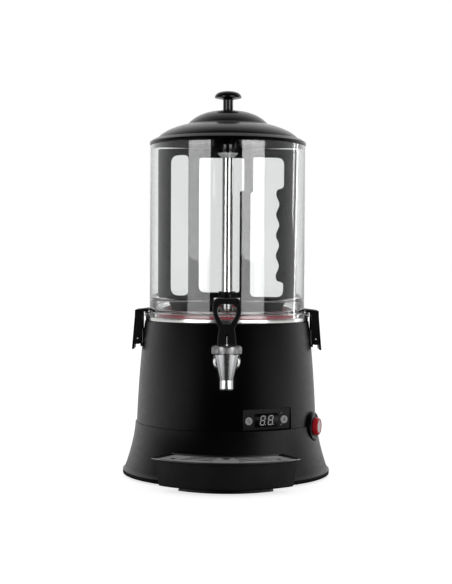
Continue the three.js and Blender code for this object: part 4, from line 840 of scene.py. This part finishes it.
# left is (outer, inner, foot, top) of its window, right (inner, step in, outer, foot, top), and wave is
# (edge, depth, pitch, foot, count) of the scalloped side
stirrer = {
    "halfWidth": 105.5, "foot": 258.3, "top": 484, "thick": 4, "edge": 0.7, "corner": 9, "shoulder": 93,
    "blade": 85, "bladeTop": 242, "bladeFoot": 168.5, "gap": 20, "left": (-85.9, -59.5, 261.8, 473.9),
    "leftCorner": (13, 7), "middle": (-43.1, 18.7, 25, 266.5, 469.6), "step": 420, "slant": 3.8,
    "right": (35, 38.8, 85.5, 260.3, 470.8), "wave": (76.3, 2.3, 31, 284, 4.5), "waveSteps": 90,
    "hub": (13, 258.15, 268), "bore": (8.9, 254.15, 272), "rivet": (77, 2, 251),
    "rivetHead": [(0, -0.2), (2.1, -0.2), (2.1, 0.3, 0.3), (1.4, 0.8, 0.5), (0, 0.9)],
}
# the cap that drives the stirrer: a polished black body over a cone painted pale grey for its shine
stirrerCap = {
    "profile": [(0, 476.4), (14, 476.4), (14, 484, 0.8), (13, 484.8, 0.3), (13, 491, 1.4), (9, 491, 0.4),
                (8, 489.8, 0.6), (0, 489.6)],
    "cone": [(9, 470), (9.8, 470, 0.3), (15.8, 476, 0.8), (15.8, 476.9, 0.3), (14, 477.4, 0.3), (9, 477.4)],
    "keyway": ((-20, -2.3, 468), (20, 2.3, 484.3)), "bore": (4.3, 470, 482.5),
}


def stirrerOutlines():
    s = stirrer
    wide, foot, blade, low, gap = s["halfWidth"], s["foot"], s["blade"], s["bladeFoot"], s["gap"]
    # the right half from the middle out, then the same mirrored
    half = [(gap, foot, 2), (gap, low, 3), (blade, low, 4), (blade, s["bladeTop"], 9),
            (s["shoulder"], foot, 2), (wide, foot, s["corner"]), (wide, s["top"], 3)]
    outline = softened([(-x, z, r) for x, z, r in reversed(half)] + half, 8)
    out, into, low, high = s["left"]
    outer, inner = s["leftCorner"]
    left = softened([(out, low, outer), (into, low, inner), (into, high, inner), (out, high, outer)], 8)
    near, stepIn, far, low, high = s["middle"]
    middle = softened([(near, low, 10), (stepIn, low, 4), (stepIn, s["step"], 3), (far, s["step"], 3),
                       (far, high, 4), (near, high, 4)], 6)
    lower, into, out, low, high = s["right"]
    edge, deep, pitch, waveFoot, count = s["wave"]
    turns = [(k + 0.5) / s["waveSteps"] * count for k in range(s["waveSteps"])]
    waves = [(edge - deep * math.sin(turn * 2 * math.pi), waveFoot + turn * pitch) for turn in turns]
    waveTop = waveFoot + pitch * count
    right = softened([(lower, low, 8), (out, low, 14), (out, waveFoot - deep, 4), *waves,
                      (out, waveTop + deep, 6), (out, high, 11), (into, high, 3), (into, s["step"], 3),
                      (lower, s["step"] - s["slant"], 3)], 6)
    return [outline, left, middle, right]


def makeStirrer():
    s = stirrer
    plate = flatPlate("stirring_frame", stirrerOutlines(), s["thick"], s["edge"])
    place(plate, onMachine @ upright)
    radius, low, high = s["hub"]
    hub = turned("hub", [(0, low), (radius, low, 0.8), (radius, high, 0.8), (0, high)], steps=64)
    cutAway(plate, hub, operation="UNION")  # the hub grows onto the plate
    cutAway(plate, place(disc(*s["bore"]), onMachine))
    finishPiece(plate, "agitator", finishes["stirrerNylon"], "gloss_black", "agitator_frame")
    # small domed rivets that hold the blades, front and back
    aside, out, height = s["rivet"]
    heads = []
    for side in (-1, 1):
        for azimuth in (0, 180):
            head = place(turned("rivet", s["rivetHead"], steps=24), offMachine)
            heads.append(place(head, facing(azimuth, out, height) @ moved(side * aside, 0, 0)))
    rivets = finishPiece(joined(*heads), "agitator", finishes["nutSteel"], "steel")
    rivets.name = "blade_rivets"


def makeStirrerCap():
    c = stirrerCap
    cap = turned("stirrer_cap", c["profile"], steps=64)
    cutAway(cap, place(block("keyway", *c["keyway"]), onMachine),
            place(disc(*c["bore"], sides=32), onMachine))
    finishPiece(cap, "agitator", finishes["capNylon"], "gloss_black", "agitator_cap")
    cone = turned("cap_cone", c["cone"], steps=64)
    cutAway(cone, place(block("keyway", *c["keyway"]), onMachine))
    # the cone's pale grey is painted shine, not its own colour
    finishPiece(cone, "agitator", finishes["paleConePaintedShine"], "steel")


# heights are counted from the lid's base, and the two bends run from shoulder to crease and to the top
lid = {
    "base": 494.3, "brim": (118.5, 4.5), "shoulder": (111.7, 9), "dome": (107, 10), "domeBend": (97.5, 23.4),
    "crease": (61.5, 32), "creaseEdge": 1.2, "crownBend": 43.5, "top": 53.5, "wall": 3, "screwHole": 2.3,
    "plug": (113.2, 110.2, 8), "bendSteps": (26, 22), "steps": 160,
}
knob = {"foot": 53.8, "collar": (8.2, 1.2, 1.8), "stem": 7.6, "stemHeight": 16.2, "cap": 20.5, "capTop": 20,
        "edge": 3, "capHeight": 13, "bore": 2.3, "socket": 66.1}


def makeLid():
    up, wall, hole, top = lid["base"], lid["wall"], lid["screwHole"], lid["top"]
    domeSteps, crownSteps = lid["bendSteps"]
    dome = bend(lid["dome"], lid["domeBend"], lid["crease"], domeSteps)
    crown = bend(lid["crease"], (lid["crownBend"], top), (hole, top), crownSteps)
    outside = [(r, z + up) for r, z in dome[1:-1]]
    outside += [(lid["crease"][0], lid["crease"][1] + up, lid["creaseEdge"])]
    outside += [(r, z + up) for r, z in crown[1:]]
    inside = [(max(r - wall, hole), z + up - wall) for r, z in dome[::3] + crown[3::3]]
    plugOut, plugIn, plugDeep = lid["plug"]
    brim, brimTop = lid["brim"]
    shoulder, shoulderTop = lid["shoulder"]
    shell = turned("lid_shell", [
        (brim, up, 0.8), (brim, up + brimTop, 1.6), (shoulder, up + shoulderTop, 1.2),
        (lid["dome"][0], up + lid["dome"][1], 0.8), *outside, (hole, up + top - wall), *reversed(inside[:-1]),
        (plugIn, up - plugDeep, 0.4), (plugOut, up - plugDeep, 0.8), (plugOut, up, 0.4)], steps=lid["steps"])
    finishPiece(shell, "lid", finishes["lidAbs"], "gloss_black", "lid")


def makeKnob():
    k = knob
    foot, bore, stem, socket = lid["base"] + k["foot"], k["bore"], k["stem"], lid["base"] + k["socket"]
    under = foot + k["stemHeight"]
    edge, top = under + k["edge"], under + k["capHeight"]
    collar, low, high = k["collar"]
    crown = bend((k["cap"], edge), (k["capTop"], top), (0, top), 20)
    grip = turned("knob", [
        (bore, foot), (collar, foot, 0.3), (collar, foot + low, 0.4), (stem, foot + high, 0.5),
        (stem, under, 1.6), (k["cap"] - 1, edge - 0.6, 0.8), (*crown[0], 0.5), *crown[1:], (0, socket),
        (bore, socket)], steps=96)
    finishPiece(grip, "lid", finishes["lidAbs"], "gloss_black", "lid_knob")


makePan()
makeBowl()
makeColumn()
print("pan, bowl and column made")
makeStirrer()
makeStirrerCap()
makeLid()
makeKnob()
print("stirrer and lid made")


def loft(name, rings):
    # closed outlines of equal count, each joined to the next by a band of faces, the two ends filled
    bands = []
    for pair in zip(rings, rings[1:]):
        loops = []
        for ring in pair:
            loop = startPoint(name)
            pullOutline([*ring, ring[0]])
            bpy.ops.object.mode_set(mode="OBJECT")
            loops.append(loop)
        bands.append(joined(*loops))
        bpy.ops.object.mode_set(mode="EDIT")
        bpy.ops.mesh.select_all(action="SELECT")
        bpy.ops.mesh.bridge_edge_loops()
        bpy.ops.object.mode_set(mode="OBJECT")
    whole = joined(*bands)
    bpy.ops.object.mode_set(mode="EDIT")
    bpy.ops.mesh.select_all(action="SELECT")
    bpy.ops.mesh.remove_doubles(threshold=machine["weld"] / 1000)
    bpy.ops.mesh.fill_holes(sides=0)
    bpy.ops.mesh.normals_make_consistent(inside=False)
    bpy.ops.object.mode_set(mode="OBJECT")
    return whole


def coil(name, radius, wire, low, high, turns, sides=28):
    # a wire spring along its own axis, its two end coils closed flat against the next
    piece, curve = newCurve(name, "3D")
    line = curve.splines.new("POLY")
    count = int(turns * sides)
    line.points.add(count)
    foot, top = low + wire / 2, high - wire / 2
    for k, point in enumerate(line.points):
        angle = 2 * math.pi * k / sides
        rise = min(max((k / count - 1 / turns) / (1 - 2 / turns), 0), 1)
        if k < sides:
            rise = 0.04 * k / sides  # just enough to stay clear of itself
        height = foot + (top - foot) * rise
        point.co = (math.cos(angle) * radius / 1000, math.sin(angle) * radius / 1000, height / 1000, 1)
    curve.bevel_depth = wire / 2000
    curve.bevel_resolution = 3
    curve.use_fill_caps = True
    bpy.ops.object.convert(target="MESH")
    return piece


# spout is (radius, foot, crease), cone (foot, top, shoulder), shank (radius, bore, height, back), flange
# (radius, thickness, front, bore), hollow (radius, depth, count), spring (radius, wire, foot, top, turns)
tap = {
    "reach": 160, "spout": (9.8, 139.2, 153), "cone": (9.5, 17.5, 189.4), "neck": (15, 197),
    "bore": (11, 171, 199), "outlet": (6, 137.2, 172), "shank": (9, 5.5, 178, 87.6),
    "flange": (19.5, 4, 135.3, 9.35),
    "bonnet": (21.5, 189.7, 201.3), "bonnetBore": 15.4, "stemBore": 3.4, "roof": 4, "hollow": (12, 1.7, 8),
    "bonnetEdge": 0.7, "spring": (6.7, 1.5, 177.7, 196.9, 6), "stroke": 4.5,
}
# points are (across, height): half of the handle's outline and of its hole, and what each is drawn towards
lever = {
    "depth": 12.4, "edge": 1.7, "foot": (13.35, 201.6), "footBend": (13.35, 217.4), "waist": (10.5, 224),
    "loopBend": (20, 243), "loop": (20, 249.6), "top": (13.4, 267.6), "hole": (5, 231.7, 259),
    "holeSide": (13.4, 249.6), "holeBend": 243, "slot": (2.3, 190, 216.6),
    "groove": (6.4, 7.3, 204, 221, 0.5), "clear": 2, "pin": (1.8, 210, 40),
}
overTap = Matrix.Translation(spot(0, -tap["reach"], 0))


def makeTap():
    t = tap
    radius, low, crease = t["spout"]
    coneFoot, coneTop, shoulder = t["cone"]
    neck, neckTop = t["neck"]
    body = turned("tap_casting", [
        (0, low), (radius - 0.5, low, 0.4), (radius, low + 2, 0.6), (radius, crease, 0.3),
        (coneFoot, crease + 0.4), (coneTop - 0.1, shoulder - 0.8, 0.5), (coneTop - 0.4, shoulder, 0.3),
        (neck, shoulder), (neck, neckTop, 0.3), (0, neckTop)], (0, -t["reach"]), 96)
    radius, bore, level, back = t["shank"]
    length, middle = t["reach"] - back, (t["reach"] + back) / 2
    cutAway(body, place(rod(radius, length), facing(0, middle, level)), operation="UNION")
    cutAway(body, place(disc(*t["bore"]), overTap), place(disc(*t["outlet"]), overTap),
            place(rod(bore, length + 2), facing(0, middle - 1, level)))
    finishPiece(body, "base", finishes["castBrass"], "cast_chrome", "tap_body")
    outer, thick, front, bore = t["flange"]
    rose = lying(0, front, level, [
        (bore, -thick), (outer, -thick, 0.4), (outer, 1.4 - thick, 1.0), (outer - 3, -0.5, 2),
        (bore + 2, 0, 0.6), (bore, -0.3, 0.2)], "tap_rose", 96)
    finishPiece(rose, "base", finishes["polishedChrome"], "steel", "tap_flange")


def makeBonnet():
    t = tap
    radius, low, high = t["bonnet"]
    inner, stem, roof = t["bonnetBore"], t["stemBore"], high - t["roof"]
    nut = turned("bonnet", [
        (inner, low), (radius - 0.8, low, 0.8), (radius, low + 1.6, 1.6), (radius, high - 2.6, 2.6),
        (radius - 3, high - 0.2, 2), (stem + 2, high, 1), (stem, high - 0.4, 0.3), (stem, roof),
        (inner, roof)], (0, -t["reach"]), 128)
    # shallow hollows around it give the fingers a hold
    hollow, deep, count = t["hollow"]
    reach = radius + hollow - deep
    for i in range(count):
        angle = (i + 0.5) * 2 * math.pi / count
        at = (math.cos(angle) * reach, math.sin(angle) * reach)
        cutAway(nut, place(disc(hollow, low - 2, high + 2, at, 96), overTap))
    roundEdges(nut, t["bonnetEdge"], 28, 2)
    finishPiece(nut, "base", finishes["satinChrome"], "steel", "tap_bonnet", smooth=40)
    radius, wire, low, high, turns = t["spring"]
    spring = place(coil("valve_coil", radius, wire, low, high, turns), overTap)
    finishPiece(spring, "base", finishes["springSteel"], "steel", "valve_spring")
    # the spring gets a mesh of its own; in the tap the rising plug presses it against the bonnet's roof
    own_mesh(spring)


def bothSides(side):
    # half an outline and its mirror image
    return side + [(-x, z) for x, z in reversed(side)]


def makeLever():
    v = lever
    outer = [*bend(v["foot"], v["footBend"], v["waist"], 14)[:-1],
             *bend(v["waist"], v["loopBend"], v["loop"], 18)[:-1],
             *bend(v["loop"], (v["loop"][0], v["top"][1]), v["top"], 18)]
    half, holeFoot, holeTop = v["hole"]
    side = v["holeSide"]
    hole = [*bend((half, holeFoot), (side[0], v["holeBend"]), side, 16)[:-1],
            *bend(side, (side[0], holeTop), (half, holeTop), 16)]
    handle = flatPlate("tap_handle", [bothSides(outer), bothSides(hole)], v["depth"], v["edge"])
    place(handle, overTap @ upright)
    deep, clear = v["depth"] / 2, v["clear"]
    wide, slotFoot, slotTop = v["slot"]
    cuts = [block("slot", (-wide, -deep - clear, slotFoot), (wide, deep + clear, slotTop))]
    near, far, low, high, sink = v["groove"]
    for aside in (-1, 1):
        for face in (-1, 1):
            x = sorted((aside * near, aside * far))
            y = sorted((face * (deep - sink), face * (deep + clear)))
            cuts.append(block("groove", (x[0], y[0], low), (x[1], y[1], high)))
    cutAway(handle, *[place(cut, overTap) for cut in cuts])
    radius, height, length = v["pin"]
    cutAway(handle, place(rod(radius, length, 32), overTap @ moved(0, 0, height) @ sideways))
    finishPiece(handle, "lever", finishes["leverNylon"], "gloss_black", "tap_lever", smooth=40)


makeTap()
makeBonnet()
makeLever()
print("tap, bonnet and lever made")

# points are (reach, height, rounding); pin is (reach, height), base (near, far, half width, foot, top),
# ear (reach, foot, top, half width inside), spring (radius, wire, half length, turns)
latch = {
    "plate": [(139.4, 186, 1.2), (142.6, 186, 1.2), (138.6, 236, 12), (138.3, 245.4, 1.6),
              (118.6, 247.8, 0.8), (118.6, 242.3, 0.8), (135.1, 242.3, 1.2)],
    "cheek": [(131, 193.8, 2.5), (141, 193.8, 0.6), (136.7, 244.3, 0.4), (127, 244.3, 0.6), (127, 199.2, 3)],
    "halfWidth": 22, "wall": 3, "edge": 0.5, "pin": (133.2, 202.4),
    "pinEnd": [(1.6, 22), (2.1, 22, 0.1), (2.1, 22.4, 0.3), (1.3, 22.9, 0.4), (0, 22.9)],
    "base": (128.5, 129.9, 17, 190, 215), "baseEdge": 0.35, "ear": (136.8, 199.2, 205.6, 14),
    "spring": (2.2, 1.1, 10, 11), "rivetAcross": 10, "rivetHeights": (194.5, 210.5),
    "rivetHead": [(0, -0.2), (2.2, -0.2), (2.2, 0.2, 0.2), (1.5, 0.8, 0.4), (0, 1)],
}


def makeClip(name, onSide):
    h = latch
    clip = flatPlate("clip_" + name, [softened(h["plate"], 6)], h["halfWidth"] * 2, h["edge"])
    place(clip, onSide @ upright)
    middle = h["halfWidth"] - h["wall"] / 2
    for across in (-middle, middle):
        cheek = flatPlate("cheek", [softened(h["cheek"], 6)], h["wall"], h["edge"])
        joined(clip, place(cheek, onSide @ moved(0, across, 0) @ upright))
    finishPiece(clip, "latch_" + name, finishes["latchNylon"], "satin_black", "latch_" + name, smooth=35)


def makePin(name, onSide):
    h = latch
    reach, height = h["pin"]
    onPin = onSide @ moved(reach, 0, height) @ upright
    below = [(r, -z, *rounding) for r, z, *rounding in reversed(h["pinEnd"])]
    pin = place(turned("pin_" + name, below + h["pinEnd"], steps=32), offMachine)
    finishPiece(place(pin, onPin), "base", finishes["nutSteel"], "steel", "latch_pin_" + name)
    radius, wire, half, turns = h["spring"]
    spring = place(coil("spring_" + name, radius, wire, -half, half, turns, 20), onPin)
    finishPiece(spring, "base", finishes["springSteel"], "steel", "latch_spring_" + name)


def makeBracket(name, onSide):
    h = latch
    near, far, wide, low, high = h["base"]
    out, earLow, earHigh, earInside = h["ear"]
    bracket = block("bracket_" + name, (near, -wide, low), (far, wide, high))
    for start, end in ((-wide, -earInside), (earInside, wide)):
        cutAway(bracket, block("ear", (near, start, earLow), (out, end, earHigh)), operation="UNION")
    roundEdges(bracket, h["baseEdge"], 40, 2)
    place(bracket, onSide)
    heads = []
    for rise in h["rivetHeights"]:
        for across in (-h["rivetAcross"], h["rivetAcross"]):
            head = place(turned("rivet", h["rivetHead"], steps=20), offMachine)
            heads.append(place(head, onSide @ moved(far, across, rise) @ sideways))
    joined(bracket, *heads)
    finishPiece(bracket, "base", finishes["blackSteel"], "steel", "latch_bracket_" + name)


for name, angle in (("right", 0), ("left", math.pi)):
    onSide = onMachine @ Matrix.Rotation(angle, 4, "Z")
    makeClip(name, onSide)
    makePin(name, onSide)
    makeBracket(name, onSide)
print("latches made")

# outside and inside are (inset, height, rounding), from the foot up and back down to the floor inside;
# front is (radius, distance of its middle from the axis), grille (inset, foot, thickness, gap behind)
tray = {
    "front": (144, 68.6), "cornerWidth": 105, "rearWidth": 80, "gap": 0.6, "steps": 44, "corner": 5,
    "wall": 2.5,
    "outside": [(38, -3, 0.6), (38, 4.8), (10, 4.8, 4), (4, 41.9, 0.2), (0.5, 42.1, 0.4), (0, 42.8, 0.4),
                (0, 45, 0.9)],
    "inside": [(4.5, 45, 0.6), (4.5, 40.4, 0.2), (9.5, 40.3, 0.6), (9.5, 19, 6), (16.5, 8, 3)],
    "plinthInset": 30, "plinthForward": 10,
}
grille = {
    "place": (5, 40.6, 2, 2.8), "fit": 0.3, "edge": 0.35, "centre": 160, "hole": 6.5, "drain": (4, 74),
    "slotWidth": 4.2, "slotSteps": 16, "capSteps": 8,
    "slots": [((14, 4), (24, 11), (50, 13)), ((18, -8), (30, 0), (56, 3)), ((20, -22), (36, -12), (62, -8))],
}


def trayRing(inset, height, behind, forward=0):
    # one level of the tray: an arc in front, and one behind that follows the skirt
    steps = tray["steps"]
    radius, centre = tray["front"]
    radius -= inset
    back = skirtRadius(max(height, 0)) + tray["gap"] + behind
    frontHalf = math.asin((tray["cornerWidth"] - inset) / radius)
    rearHalf = math.asin((tray["rearWidth"] - inset) / back)
    sweep = [i / steps * 2 - 1 for i in range(steps + 1)]
    front = [(math.sin(t * frontHalf) * radius, -centre - forward - math.cos(t * frontHalf) * radius)
             for t in sweep]
    rear = [(-math.sin(t * rearHalf) * back, -math.cos(t * rearHalf) * back) for t in sweep]
    # the corners where the arcs meet are rounded off a little
    corners = (0, steps, steps + 1, 2 * steps + 1)
    return softened([(*p, tray["corner"] if i in corners else 0) for i, p in enumerate(front + rear)], 4)


def makeTray():
    # up the outside from the plinth, which stands a little forward, and down the inside
    levels = [(inset, z, 0, tray["plinthForward"] if inset > tray["plinthInset"] else 0)
              for inset, z in softened(tray["outside"], 4)]
    levels += [(inset, z, tray["wall"]) for inset, z in softened(tray["inside"], 4)]
    body = loft("tray", [[spot(x, y, level[1]) for x, y in trayRing(*level)] for level in levels])
    finishPiece(body, "tray", finishes["trayAbs"], "satin_black", "drip_tray")


def slotOutline(middle, path, side):
    # a slot with round ends that follows a curve, its points counted from the middle of the grille
    half, steps, turns = grille["slotWidth"] / 2, grille["slotSteps"], grille["capSteps"]
    line = [Vector((side * x, middle + y)) for x, y in bend(*path, steps)]
    ways = [(line[min(i + 1, steps)] - line[max(i - 1, 0)]).normalized() for i in range(steps + 1)]
    sides = [Vector((-way.y, way.x)) * half for way in ways]
    angles = [i * math.pi / turns for i in range(1, turns)]
    caps = [[end + way * half * math.sin(angle) + out * math.cos(angle) for angle in angles]
            for end, way, out in ((line[-1], ways[-1], sides[-1]), (line[0], -ways[0], -sides[0]))]
    there = [p + out for p, out in zip(line, sides)]
    back = [p - out for p, out in zip(line[::-1], sides[::-1])]
    return there + caps[0] + back + caps[1]


def makeGrille():
    g = grille
    inset, low, thick, behind = g["place"]
    middle = -g["centre"]
    outlines = [trayRing(inset, low - g["fit"], behind), circle(g["hole"], (0, middle), 30)]
    radius, reach = g["drain"]
    for side in (-1, 1):
        outlines.append(circle(radius, (side * reach, middle), 30))
        outlines += [slotOutline(middle, path, side) for path in g["slots"]]
    plate = flatPlate("grille", outlines, thick, g["edge"])
    place(plate, onMachine @ moved(0, 0, low + thick / 2))
    finishPiece(plate, "grille", finishes["grilleAbs"], "satin_black", "drip_grille")


makeTray()
makeGrille()
print("tray and grille made")

# turned about the gland's axis: (radius, how far out from the face of its six flats, rounding)
gland = {
    "height": 35, "face": 151.4, "flats": [(0, -3), (9.4, -3), (10, -2.4), (10, -0.6), (9.4, 0), (0, 0)],
    "barrel": [(0, -22.4), (6, -22.4), (6, -2), (6, -0.5), (7, -0.5), (7, 2.6, 0.8), (5.4, 4, 0.8),
               (4, 4, 0.4), (3.2, 3.2), (3.2, 0), (0, 0)],
    "ribs": 12, "notch": (0.8, 0.6, 5), "notchReach": 7.25,
}


def makeGland():
    g = gland
    flats = lying(180, g["face"], g["height"], g["flats"], "gland", 6)
    barrel = lying(180, g["face"], g["height"], g["barrel"], "barrel", 48)
    cutAway(flats, barrel, operation="UNION")
    for at in circle(g["notchReach"], count=g["ribs"]):
        cutAway(flats, place(disc(*g["notch"], at, 16), facing(180, g["face"], g["height"])))
    finishPiece(flats, "base", finishes["blackNylon"], "gloss_black", "cable_gland")


makeGland()

# the parts whose modelled shape is right keep it and get their own finish
dressed = {
    "satinAbs": ["bottom_plate"], "heaterAlloy": ["heater_ring"], "panSteel": ["motor_bridge"],
    "motorPaint": ["motor", "gearbox"], "tubeSteel": ["temperature_probe", "drive_shaft", "valve_stem"],
    "nutSteel": ["column_nut", "knob_screw", "shell_nut", "pan_nut", "lever_pin"]
    + ["plate_screw_" + str(i) for i in (1, 2, 3, 4)],
    "rubber": ["valve_plug"] + ["rubber_foot_" + str(i) for i in (1, 2, 3, 4)],
    "boardLaminate": ["circuit_board"], "whiteNylon": ["power_body", "terminal_block"],
    "blackNylon": ["gland_nut"],
}
for finish, names in dressed.items():
    for name in names:
        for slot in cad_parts[name].material_slots:
            slot.material = finishes[finish]
print("gland made, inner parts given their finishes")

mirrorsStrips = ["clear_bowl", "pan_and_ring", "column", "blade_rivets", "tap_casting", "tap_rose", "bonnet",
                 "knob", "stirrer_cap", "cap_cone", "pin_left", "pin_right"]
for name in mirrorsStrips:
    shinyParts.objects.link(bpy.data.objects[name])
shinyParts.objects.link(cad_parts["valve_stem"])
for name in ("tap_casting", "tap_rose", "bonnet", "tray"):
    tapParts.objects.link(bpy.data.objects[name])
for name, parts in softlyLit.items():
    parts.objects.link(bpy.data.objects[name])
# the lid lets the strips' light through, so that the stirrer's cap under it shines
unshaded.objects.link(bpy.data.objects["lid_shell"])
unshaded.collection_objects[0].light_linking.link_state = "EXCLUDE"
